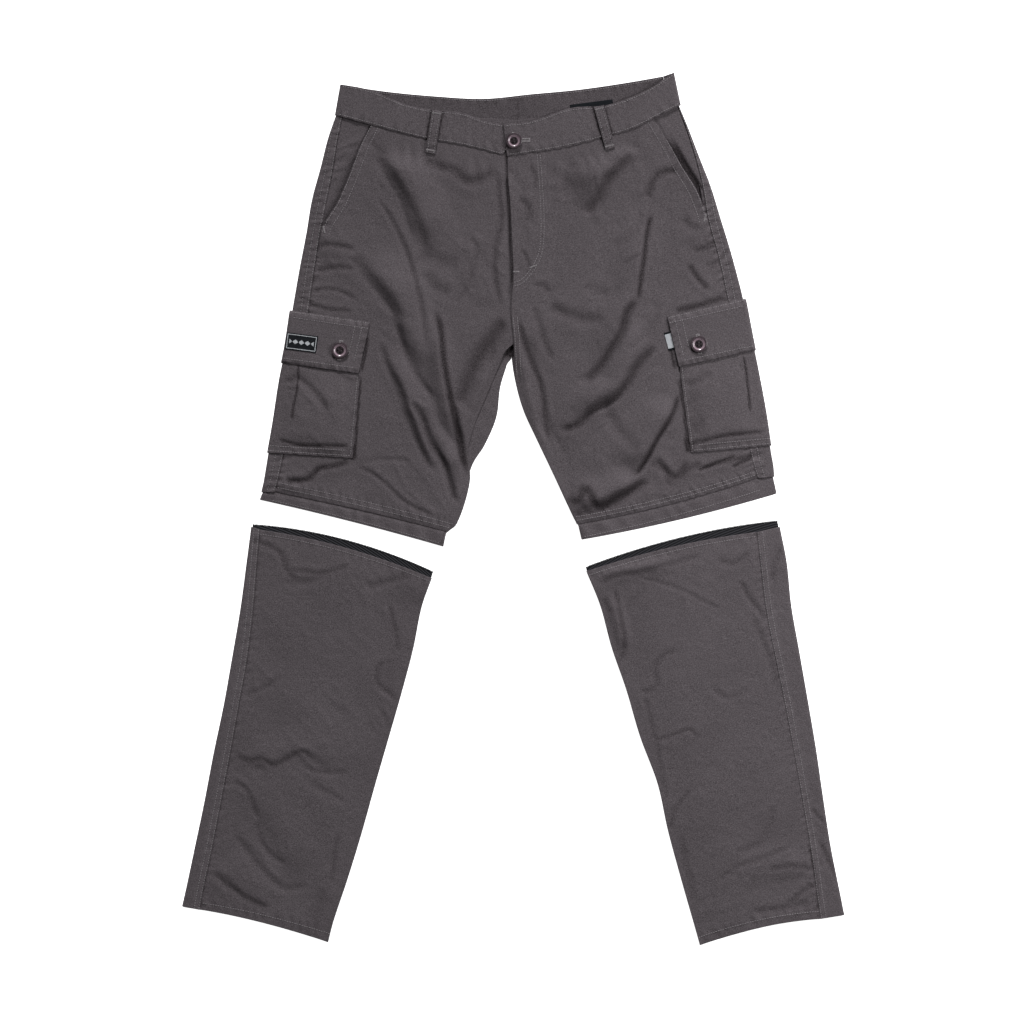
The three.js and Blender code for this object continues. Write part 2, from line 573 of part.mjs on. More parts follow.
// A cargo pocket or its flap, wrapped round the side of the leg.
function cargoPiece(side, rows, steps, outward, topAt, bottomAt) {
  const read = tableReader(rows);
  return wrappedWall(steps.map((row) => {
    const { front, sideY } = read(row);
    const edge = toward(side.edgeAtY(sideY), front, -outward);
    return {
      start: front, edge, end: toward(edge, front, POCKET_BACK_WIDTH),
      topAt: (x, y) => topAt(x, y, row, distance([x, y], front) / distance(edge, front)),
      bottomAt, topSteps: 6, bottomShares: [0.33, 0.67, 1],
    };
  }));
}
function cargoPocket(side) {
  const lastRow = side.cargoRows.length - 1;
  const puff = (row, share) => POCKET_PUFF * smooth((row - 1) / 0.8) * smooth((lastRow - row) / 0.5)
    * smooth(share / 0.25) * smooth((1 - share) / 0.4);
  return cargoPiece(side, side.cargoRows, spread(0, lastRow, 11), LAYER + GAP + SLACK,
    (x, y, row, share) => FRONT_TOP + LAYER + puff(row, share),
    (x, y) => LAYER * besideOutline(side.flapBack, FLAP_LAP, x, y));
}
// The flap's sewn strip lies on the leg above the pocket's top edge, and the rest over the pocket.
function cargoFlap(side) {
  const steps = [0, FLAP_SEAM, ...spread(0.25, 1, 4)];
  return cargoPiece(side, side.flapRows, steps, 2 * (LAYER + GAP + SLACK),
    (x, y, row) => FRONT_TOP + LAYER + LAYER * smooth(row / FLAP_SEAM),
    () => 0);
}

// A flattened tube inside the end of a leg: over the top layer, round both folds and back.
// rings: from the tucked end out, each with its side and inner ends and its heights. A ring may stand out of
// the leg by its own amount at the side, in the middle and at the inseam.
const FLUSH = { side: 0, middle: 0, inseam: 0 };
function flatTube(rings, cloth) {
  const made = rings.map(({ side, inner, bow, top, bottom, out: stands = FLUSH }) => {
    const radius = (top - bottom) / 2;
    const out = [side[0] - inner[0], side[1] - inner[1]].map((d) => d / distance(side, inner));
    const up = side[0] < inner[0] ? [out[1], -out[0]] : [-out[1], out[0]];
    const across = (t, z) => {
      const arch = stands.middle - (stands.inseam + stands.side) / 2;
      const raised = lerp(stands.inseam, stands.side, t) + 4 * t * (1 - t) * arch;
      const [x, y] = mix(inner, side, t);
      return [x + up[0] * raised, y + up[1] * raised + 4 * t * (1 - t) * bow, z];
    };
    const turn = (t, direction, r, angle) => {
      const p = across(t, (top + bottom) / 2 + r * Math.sin(angle));
      const step = r * Math.cos(angle) - radius;
      return [p[0] + direction * out[0] * step, p[1] + direction * out[1] * step, p[2]];
    };
    const loop = (inset) => {
      const r = radius - inset;
      const share = radius / distance(side, inner);
      return [
        ...spread(share, 1 - share, TUBE_STEPS).slice(1, -1).map((t) => across(t, top - inset)),
        ...spread(Math.PI / 2, -Math.PI / 2, FOLD_STEPS).map((angle) => turn(1, 1, r, angle)),
        ...spread(1 - share, share, TUBE_STEPS).slice(1, -1).map((t) => across(t, bottom + inset)),
        ...spread(-Math.PI / 2, Math.PI / 2, FOLD_STEPS).map((angle) => turn(0, -1, r, angle)),
      ];
    };
    return { outer: loop(0), inner: loop(cloth) };
  });
  return wall(made.map((ring) => ring.outer), made.map((ring) => ring.inner), true);
}

// The cover that hides the zip at each hem of the shorts, sewn in under the panels' lower edge.
function hemBand(side) {
  const ringAt = (row, inset, top, bottom) => {
    const section = side.read(row);
    return {
      side: toward(section.edge, section.front, inset), inner: toward(section.front, section.edge, inset / 2),
      bow: section.bow, top, bottom,
    };
  };
  const hidden = FRONT_LIFT - GAP;
  return flatTube([
    ringAt(HEM_TUCK_ROW, LAYER + GAP, hidden, LAYER),
    ringAt(HEM_ROW + 0.15, LAYER + GAP, hidden, LAYER),
    ringAt(HEM_ROW + 0.4, 1, hidden, 2 * GAP),
    ringAt(HEM_ROW + 1, 0, hidden - GAP, 0),
  ], CLOTH);
}

// Lower legs
function lowerLeg(name, rows, zip) {
  return { name, read: tableReader(rows), rows: rows.length - 1, zip };
}
const LOWER_LEGS = [lowerLeg('right', LEG_RIGHT, ZIP_RIGHT), lowerLeg('left', LEG_LEFT, ZIP_LEFT)];

function legFrontUnder(leg, row, u, x, y) {
  const section = leg.read(row);
  const fromInseam = (1 - u) * distance(section.seam, section.inner);
  const inseam = lerp(LAYER, FRONT_LIFT, smooth((1.2 - row) / 0.8));
  const base = lerp(inseam, FRONT_LIFT, smooth(fromInseam / INSEAM_SLOPE));
  const clear = smooth(fromInseam / SEAM_MARGIN) * smooth(row / 0.3) * smooth((leg.rows - row) / 0.5);
  return base + clear * foldHeight(LOWER_FOLDS, x, y);
}
function legFront(leg) {
  const inner = spread(0, leg.rows, LEG_FRONT_ROWS).map((row) => {
    const section = leg.read(row);
    const margin = GAP / 2 / distance(section.seam, section.inner);
    return spread(margin, 1, LEG_FRONT_COLUMNS).map((u) => {
      const [x, y] = place(section, section.seam, section.inner, u);
      return [x, y, legFrontUnder(leg, row, u, x, y)];
    });
  });
  return wall(inner.map((row) => row.map(([x, y, z]) => [x, y, z + CLOTH])), inner);
}
function legBack(leg) {
  return wrappedWall(spread(0, leg.rows, LEG_BACK_ROWS).map((row) => {
    const section = leg.read(row);
    const seamTop = legFrontUnder(leg, row, 0, ...section.seam) + CLOTH;
    return {
      start: toward(section.seam, section.edge, GAP / 2), edge: section.edge, end: section.inner,
      topAt: (x, y) => {
        const inward = distance(section.edge, [x, y]) / distance(section.edge, section.seam);
        return lerp(FRONT_TOP, seamTop, smooth(inward));
      },
      bottomAt: () => 0, topSteps: 2, bottomShares: BACK_SHARES,
    };
  }));
}
// The zip's tape, sewn in under the top edge all round.
function legZip(leg) {
  const hidden = FRONT_LIFT - GAP;
  const tucked = leg.read(ZIP_TUCK_ROW);
  const edge = leg.read(0);
  const ring = (section, inset, share, top, bottom) => ({
    side: toward(section.edge, section.inner, inset),
    inner: toward(section.inner, section.edge, inset / 2),
    bow: section.bow,
    top,
    bottom,
    out: { side: leg.zip.side * share, middle: leg.zip.middle * share, inseam: leg.zip.inseam * share },
  });
  return flatTube([
    ring(tucked, LAYER + GAP, 0, hidden, LAYER),
    ring(edge, LAYER + GAP, 0, hidden, LAYER),
    ring(edge, LAYER, 0.4, hidden - GAP, 2 * GAP),
    ring(edge, LAYER, 1, hidden - 2 * GAP, 0),
  ], ZIP_TAPE);
}

// Buttons: a dished disc with a rolled rim and four holes.
function toSolid(geometry) {
  const bare = geometry.clone();
  bare.deleteAttribute('normal');
  bare.deleteAttribute('uv');
  const merged = mergeVertices(bare, 1e-4);
  return new wasm.Manifold(new wasm.Mesh({
    numProp: 3, vertProperties: merged.attributes.position.array, triVerts: merged.index.array,
  }));
}
function fromSolid(solid) {
  const mesh = solid.getMesh();
  const geometry = new THREE.BufferGeometry();
  geometry.setAttribute('position', new THREE.BufferAttribute(mesh.vertProperties, 3));
  geometry.setIndex(new THREE.BufferAttribute(mesh.triVerts, 1));
  return geometry;
}
// The profile from the middle of the underside, over the rim, to the middle of the dish: shares of the radius
// and of the height.
const BUTTON_PROFILE = [[0, 0], [0.7, 0], [1, 0.35], [1, 0.65], [0.92, 1], [0.78, 1], [0.66, 0.55], [0, 0.5]];
const BUTTON_HOLES = { radius: 0.11, offset: 0.24, sides: 6 };
function button({ radius, height, sides }) {
  const profile = BUTTON_PROFILE.map(([r, h]) => new THREE.Vector2(r * radius, h * height));
  const disc = new THREE.LatheGeometry(profile, sides).rotateX(Math.PI / 2);
  const holeRadius = BUTTON_HOLES.radius * radius;
  const offset = BUTTON_HOLES.offset * radius;
  let solid = toSolid(disc);
  for (const [x, y] of [[offset, offset], [-offset, offset], [-offset, -offset], [offset, -offset]]) {
    const hole = new THREE.CylinderGeometry(holeRadius, holeRadius, 2 * height, BUTTON_HOLES.sides);
    hole.rotateX(Math.PI / 2).translate(x, y, height / 2);
    solid = solid.subtract(toSolid(hole));
  }
  return fromSolid(solid);
}

const label = ([width, length]) => new THREE.BoxGeometry(width, length, LABEL).translate(0, 0, LABEL / 2);

const trousers = new THREE.Group();
function add(name, geometry, finish, position = [0, 0, 0], turn = 0) {
  const mesh = new THREE.Mesh(geometry, new THREE.MeshStandardMaterial(finish));
  mesh.name = name;
  mesh.position.set(...position);
  mesh.rotation.z = turn;
  trousers.add(mesh);
}

for (const side of HALVES) {
  add(`front_${side.name}`, frontPanel(side), TWILL);
  add(`back_${side.name}`, backPanel(side), TWILL);
  add(`pocket_facing_${side.name}`, pocketFacing(side), TWILL);
  add(`cargo_pocket_${side.name}`, cargoPocket(side), TWILL);
  add(`cargo_flap_${side.name}`, cargoFlap(side), TWILL);
  add(`hem_band_${side.name}`, hemBand(side), TWILL);
  add(`belt_loop_front_${side.name}`, frontLoop(side), TWILL);
}
add('waistband_right', frontWaistband(RIGHT, WAISTBAND_RIGHT, WAISTBAND_BACK[0]), TWILL);
add('waistband_left', frontWaistband(LEFT, WAISTBAND_LEFT, WAISTBAND_BACK.at(-1)), TWILL);
add('waistband_back', backWaistband(), TWILL);
for (const [name, loop] of Object.entries(BACK_LOOPS)) add(`belt_loop_back_${name}`, backLoop(loop), TWILL);
for (const leg of LOWER_LEGS) {
  add(`leg_front_${leg.name}`, legFront(leg), TWILL);
  add(`leg_back_${leg.name}`, legBack(leg), TWILL);
  add(`leg_zip_${leg.name}`, legZip(leg), TAPE);
}

const flapTop = FRONT_TOP + 2 * LAYER;
const waistButtonUnder = bandTop(LEFT, ...WAIST_BUTTON_AT) + GAP;
add('waist_button', button(WAIST_BUTTON), BUTTON, [...WAIST_BUTTON_AT, waistButtonUnder]);
for (const [name, at] of Object.entries(FLAP_BUTTONS_AT)) {
  add(`flap_button_${name}`, button(FLAP_BUTTON), BUTTON, [...at, flapTop + GAP]);
}
function addLabel(name, { centre, size, turn }, underside) {
  add(name, label(size), WOVEN_LABEL, [...centre, underside], turn);
}
addLabel('flap_label_right', FLAP_LABEL, flapTop + GAP);
addLabel('flap_tab_left', FLAP_TAB, FRONT_TOP + GAP);
addLabel('waist_label', WAIST_LABEL, 2 * LAYER);

export default trousers;
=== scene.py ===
# Convertible zip-off trousers laid flat: cloth, stitches, zips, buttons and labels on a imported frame.
# Tables and sizes are in millimetres, in the frame of the solids: X to the right, Y up the garment, Z up
# from the floor. Finished meshes are in metres. Right and left are the wearer's, so right is at negative X.

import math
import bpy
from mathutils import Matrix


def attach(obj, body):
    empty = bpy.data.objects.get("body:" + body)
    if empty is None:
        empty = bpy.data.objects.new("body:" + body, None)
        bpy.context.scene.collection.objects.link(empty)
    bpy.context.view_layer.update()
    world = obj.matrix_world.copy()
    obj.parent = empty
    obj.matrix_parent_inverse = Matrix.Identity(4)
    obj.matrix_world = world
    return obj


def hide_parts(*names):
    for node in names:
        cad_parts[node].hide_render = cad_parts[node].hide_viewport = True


bl_info = {
    "name": "Zip-off trousers",
    "version": (1, 0, 0),
    "blender": (4, 5, 0),
    "location": "View3D > Sidebar > Trousers",
    "description": "Dresses a pair of convertible trousers, laid flat, piece by piece",
    "category": "Add Mesh",
}

from collections import namedtuple
from types import SimpleNamespace

import bpy
import numpy as np
from mathutils import Matrix, Vector
from mathutils.bvhtree import BVHTree

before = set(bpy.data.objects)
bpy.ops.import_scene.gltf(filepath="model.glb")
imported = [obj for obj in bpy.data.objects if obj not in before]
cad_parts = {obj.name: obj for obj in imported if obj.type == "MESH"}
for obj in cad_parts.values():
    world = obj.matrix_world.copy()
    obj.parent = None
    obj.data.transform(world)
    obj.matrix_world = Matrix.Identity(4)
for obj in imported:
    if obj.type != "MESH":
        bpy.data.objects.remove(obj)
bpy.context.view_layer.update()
BODY = "root"
MM = 0.001

# Layers, in the sizes of the solids
CLOTH = 1.2
GAP = 0.3
SLACK = 0.1
LAYER = CLOTH + GAP
FRONT_LIFT = 3 * LAYER + GAP
FRONT_TOP = FRONT_LIFT + CLOTH
FLY_UNDERLAP = 16
FACING_UNDERLAP = 12
SEAM_TUCK = 3
SEAM_SHUT = 0.2
FOLD_LIFT = 1.2
PRESSED = 0.6
POCKET_BACK_WIDTH = 57
POCKET_PUFF = 4
FLAP_SEAM = 0.09
LOOP_WIDTH = 13
BUTTON_LIFT = 0.4
ZIP_TAPE = 1.2
ZIP_COIL = 0.9
INSEAM_SLOPE = 70
SEAM_MARGIN = 14
Lap = namedtuple("Lap", "flat fade")
SLASH_LAP = Lap(14, 34)
FLY_LAP = Lap(22, 36)
POCKET_LAP = Lap(20, 12)
FLAP_LAP = Lap(16, 14)
POCKET_MARGIN = Lap(6, 18)
POCKET_FADE = 3
LABEL = 0.7
COIL_TURN = 2.4

# About how wide each piece is, which sets how closely its points lie
BACK_WIDTH = 230
LEG_BACK_WIDTH = 200
FACING_WIDTH = 35
POCKET_WIDTH = 100
BAND_HEIGHT = 41
BACK_BAND_HEIGHT = 42
BAND_WRAP = 24
COVER_HEIGHT = 20
TAPE_HEIGHT = 10
# How many points cross a side strip, and how far apart the points of folds and seams lie
SIDE_STEPS = 15
RELIEF_STEP = 5
SEAM_STEP = 3

# Stitch rows, by their distance from the seam or edge that each follows
SIDE_STITCHES = (2, 10)
MOUTH_STITCHES = (2, 11)
CENTRE_STITCHES = (2.5, 8)
LEG_SIDE_STITCHES = (2, 8)
POCKET_STITCHES = (9.5, 3)
FLAP_TOP_STITCHES = (2, 9)
FLAP_LOWER_STITCH = 6.5
FLAP_FRONT_STITCHES = (9, 18)
LOOP_STITCHES = (-4, 4)
# As shares of a waistband's height or of a belt loop's length
BAND_STITCHES = (0.06, 0.94)
LOOP_TACKS = (0.06, 0.93)

# Values of wear and painted shade: even cloth, and how much paler puckers are
EVEN_WEAR = 0.5
WEAR_SHOWN = 0.4
# How much of each end a fold or valley takes to rise or sink
FOLD_TAPER = 0.3
VALLEY_TAPER = 0.1
# Which way along X each half's side lies
OUTWARD = {"right": -1, "left": 1}

# Shares of a button's radius, and of its height for the dish
BUTTON_HEIGHT = 0.3
HOLE_SPREAD = 0.26
HOLE_RADIUS = 0.11
BUTTON_RIM = 0.3
BUTTON_SLOPE = 0.14
BUTTON_DISH = 0.38

# The stage, in metres, watts and degrees
FLOOR_SIZE = 12
FLOOR_DROP = 0.0005
WINDOW_AT = (-0.2, 4.2, 2.1)
WINDOW_POWER = 3.4
WINDOW_ANGLE = 12
SIDE_WALL_AT = (1.35, 0.4, 1.1)
SIDE_WALL_POWER = 22
SIDE_WALL_SIZE = 0.9
ROOM_LIGHT = 0.12
CAMERA_PLAN = (-0.0026, -0.0039)
CAMERA_DISTANCE = 3.143
CAMERA_LENS = 85
CAMERA_SENSOR = 36


def table(kind, rows):
    """Rows of numbers as named tuples of one kind."""
    return [kind(*row) for row in rows]


# Sections down each half of the shorts, from the tucked top edge at the waist to the hem.
# edge: the fold at the side. seam: the side seam, on the front. slash: from the seam to the pocket opening.
# front, back: where the section ends on the front and on the back. bow: how far its middle rises.
Section = namedtuple("Section", "edge seam slash front back bow")
SHORTS_RIGHT = table(Section, [
    ((-229, 519), (-221, 518), 40, (-13, 469), (4, 506), -5),
    ((-242, 482), (-229, 480), 30, (-8, 430), (3, 467), -4),
    ((-252, 443), (-235, 441), 22, (-5, 394), (2, 421), -3),
    ((-263, 402), (-243, 402), 14, (-3, 350), (1, 376), -2),
    ((-270, 360), (-251, 360), 0, (-1, 304), (-1, 330), -1),
    ((-279, 313), (-259, 313), 0, (-4, 261), (-3.5, 272), 0),
    ((-287, 266), (-266, 265), 0, (-10, 213), (-7, 199), 0),
    ((-295, 213), (-274, 213), 0, (-31, 159), (-18, 159), 0),
    ((-305, 162), (-282, 161), 0, (-52, 107), (-23, 120), 0),
    ((-312, 116), (-291, 116), 0, (-60, 74), (-38, 84), 0),
    ((-320, 70), (-299, 74), 0, (-57, 38), (-55, 56), 0),
    ((-326, 35), (-307, 35), 0, (-75, -20), (-75, -20), 2),
    ((-329, 22), (-311, 22), 0, (-86, -30), (-86, -30), 2),
    ((-331, 12), (-315, 9), 0, (-92, -49), (-92, -49), 2),
])
SHORTS_LEFT = table(Section, [
    ((212, 531), (210, 530), 35, (-9, 466), (4, 506), -12),
    ((229, 490), (225, 489), 27, (-8, 430), (3, 467), -10),
    ((242, 456), (236, 454), 20, (-5, 394), (2, 421), -8),
    ((256, 420), (245, 417), 8, (-3, 350), (1, 376), -7),
    ((269, 378), (252, 375), 0, (-1, 304), (-1, 330), -6),
    ((283, 332), (265, 328), 0, (-4, 261), (-2.5, 272), -6),
    ((297, 278), (277, 273), 0, (-1, 220), (-3, 199), -6),
    ((308, 222), (287, 220), 0, (3, 161), (3, 161), -6),
    ((318, 173), (294, 170), 0, (13, 127), (13, 127), -6),
    ((327, 124), (300, 122), 0, (30, 90), (30, 90), -6),
    ((334, 77), (306, 78), 0, (51, 46), (51, 46), -6),
    ((338, 54), (313, 49), 0, (77, -10), (77, -10), -5),
    ((339, 42), (316, 40), 0, (82, -20), (82, -20), -5),
    ((342, 20), (321, 22), 0, (88, -40), (88, -40), -4),
])
BAND_ROW = 1.5
SLASH_ROW = 4
FLY_ROW = 5
CROTCH_ROW = 6
HEM_STITCH_ROWS = (11.05, 11.5)
HEM_TUCK_ROW = 11.4
HEM_ROW = 12
SIDE_CREASE_ROW = 0.85
COVER_PUCKER_ROW = 12.6
COVER_STITCH_ROW = 12.85
BAND_FLAT_Y = 500
HEM_DIP = 0.7
MOUTH_RISE = {"right": 0.9, "left": 2.4}

# Sections down each lower leg: the fold at the side, the side seam and the inseam.
LegSection = namedtuple("LegSection", "edge seam inner bow")
LEG_RIGHT = table(LegSection, [
    ((-342, -23), (-330, -27), (-107, -90), 8),
    ((-348, -69), (-334, -73), (-120, -127), 6),
    ((-356, -129), (-339, -133), (-131, -181), 3),
    ((-367, -194), (-347, -198), (-147, -242), 3),
    ((-378, -256), (-358, -260), (-164, -301), 3),
    ((-391, -318), (-369, -322), (-181, -360), 3),
    ((-403, -381), (-381, -385), (-198, -421), 4),
    ((-416, -443), (-393, -447), (-217, -483), 4),
    ((-427, -495), (-404, -499), (-235, -537), 4),
    ((-432, -517), (-408, -521), (-242, -564), 4),
])
LEG_LEFT = table(LegSection, [
    ((346, -23), (315, -30), (94, -81), 6),
    ((355, -69), (320, -75), (112, -125), 6),
    ((361, -126), (327, -132), (127, -180), 6),
    ((371, -183), (338, -189), (146, -235), 6),
    ((382, -246), (351, -252), (164, -296), 6),
    ((393, -311), (363, -316), (187, -358), 6),
    ((402, -373), (374, -378), (200, -417), 6),
    ((412, -438), (385, -443), (217, -480), 6),
    ((425, -503), (394, -508), (235, -543), 6),
    ((430, -528), (398, -533), (242, -568), 6),
])
LEG_HEM_ROW = 8.58
LEG_TOP_ROW = 0.125
# How far the zip tape stands out of each leg's top.
ZipReach = namedtuple("ZipReach", "side middle inseam")
FLUSH = ZipReach(0, 0, 0)
ZIP_RIGHT = ZipReach(3, 9, 8)
ZIP_LEFT = ZipReach(8, 9, 5)
ZIP_TUCK_ROW = 0.16

# Stations along the waistband: its lower and upper edge, from the fly to the side, and across the back.
Station = namedtuple("Station", "lower upper")
WAISTBAND_RIGHT = table(Station, [
    ((4, 469), (2, 499)),
    ((-8, 469), (-10, 499)),
    ((-15, 461), (-16, 500)),
    ((-38, 466), (-38, 504)),
    ((-69, 473), (-69, 515)),
    ((-110, 480), (-110, 519)),
    ((-148, 489), (-142, 526)),
    ((-190, 500), (-190, 545)),
    ((-233, 512), (-226, 552)),
])
WAISTBAND_LEFT = table(Station, [
    ((-9, 458), (-14, 500)),
    ((25, 463), (22, 504)),
    ((62, 469), (73, 521)),
    ((110, 481), (120, 525)),
    ((157, 495), (157, 537)),
    ((188, 511), (186, 552)),
    ((217, 525), (208, 568)),
])
WAISTBAND_BACK = table(Station, [
    ((-218, 508), (-213, 550)),
    ((-164, 500), (-164, 543)),
    ((-101, 495), (-101, 537)),
    ((-39, 492), (-39, 534)),
    ((23, 495), (23, 540)),
    ((86, 500), (86, 546)),
    ((148, 508), (148, 555)),
    ((203, 522), (194, 563)),
])
BAND_CENTRE_SEAM = [(5, 495), (5, 536)]
BAND_FOLD_RUN = 26
Ends = namedtuple("Ends", "top bottom")
FRONT_LOOPS = {
    "right": Ends((-100, 517), (-109, 462)),
    "left": Ends((110, 523), (125, 468)),
}
BACK_LOOPS = {
    "right": Ends((-120, 538), (-120, 488)),
    "centre": Ends((4, 536), (4, 484)),
    "left": Ends((122, 550), (122, 494)),
}
# Cargo pockets: the front edge of each row, and the height at which the row meets the side fold.
PocketRow = namedtuple("PocketRow", "front side_y")
CARGO_RIGHT = table(PocketRow, [
    ((-193, 235), 248),
    ((-200, 176), 190),
    ((-205, 120), 130),
    ((-210, 66), 73),
])
CARGO_LEFT = table(PocketRow, [
    ((207, 240), 262),
    ((215, 185), 205),
    ((222, 133), 146),
    ((230, 73), 82),
])
FLAP_RIGHT = table(PocketRow, [
    ((-187, 243), 257),
    ((-202, 176), 190),
])
FLAP_LEFT = table(PocketRow, [
    ((199, 250), 272),
    ((214, 185), 205),
])
WAIST_BUTTON_AT = (0, 478)
FLAP_BUTTONS_AT = {"right": (-226, 206), "left": (240, 214)}
FLAP_BUTTONHOLE_TURN = {"right": 1.45, "left": 1.7}
Plate = namedtuple("Plate", "centre size turn")
FLAP_LABEL = Plate((-276, 216), (41, 22), -0.13)
FLAP_TAB = Plate((201, 218), (6, 24), 0.27)
WAIST_LABEL = Plate((101, 525.5), (56, 8), 0.13)
LABEL_TUCK = 5

# Rounded folds. A path is a crest, and its steep side lies to the right of the way it runs.
Fold = namedtuple("Fold", "rise steep gentle path")
SHORTS_FOLDS = table(Fold, [
    (7, 18, 50, [(-174, 472), (-151, 439), (-131, 403), (-118, 365), (-107, 337)]),
    (6, 18, 45, [(-203, 334), (-166, 294), (-148, 272), (-133, 233), (-117, 200), (-99, 161)]),
    (5, 14, 26, [(-164, 213), (-143, 164), (-130, 126), (-112, 83), (-96, 48)]),
    (5, 16, 18, [(-127, 165), (-112, 135), (-104, 105), (-86, 79), (-73, 51), (-70, 22)]),
    (7, 14, 28, [(-73, 74), (-80, 100), (-86, 129), (-92, 161), (-97, 200), (-101, 233), (-109, 265)]),
    (4, 28, 12, [(-22, 200), (-42, 160), (-60, 122), (-70, 96), (-72, 68)]),
    (7, 20, 50, [(82, 391), (98, 413), (112, 437), (131, 456), (155, 472), (174, 487)]),
    (6, 16, 40, [(96, 182), (113, 200), (126, 222), (134, 246), (150, 272), (156, 304), (161, 337),
        (166, 369), (174, 395)]),
    (6, 18, 28, [(68, 118), (88, 137), (109, 150), (129, 161), (140, 186), (155, 218), (168, 251)]),
    (6, 10, 45, [(148, 46), (162, 68), (174, 83), (184, 104), (196, 124), (206, 148)]),
    (4, 16, 12, [(31, 103), (27, 129), (20, 155), (13, 186), (5, 210)]),
    (5, 14, 30, [(68, 20), (86, 14), (112, 16), (135, 27), (164, 45)]),
])
LEG_FOLDS = table(Fold, [
    (2, 18, 45, [(-382, -456), (-359, -478), (-333, -499), (-307, -512)]),
    (2.5, 24, 45, [(-363, -342), (-328, -372), (-302, -411), (-282, -456), (-263, -480)]),
    (2, 16, 35, [(-367, -313), (-320, -322), (-278, -307), (-220, -333)]),
    (3, 18, 14, [(104, -88), (130, -80), (177, -73), (216, -62)]),
    (3.5, 14, 16, [(138, -190), (140, -168), (132, -135), (126, -108)]),
    (2.2, 22, 40, [(291, -480), (330, -465), (365, -460), (384, -440)]),
])
# Creases of the pocket facings. A path runs along the middle of the steep side, which falls to its right.
FACING_CREASES = table(Fold, [
    (1.2, 4, 7, [(-235, 463), (-194, 480)]),
    (1.2, 4, 7, [(-233, 451), (-213, 467)]),
    (1, 4, 7, [(-239, 436), (-213, 445)]),
    (1, 4, 7, [(-242, 422), (-226, 434)]),
])
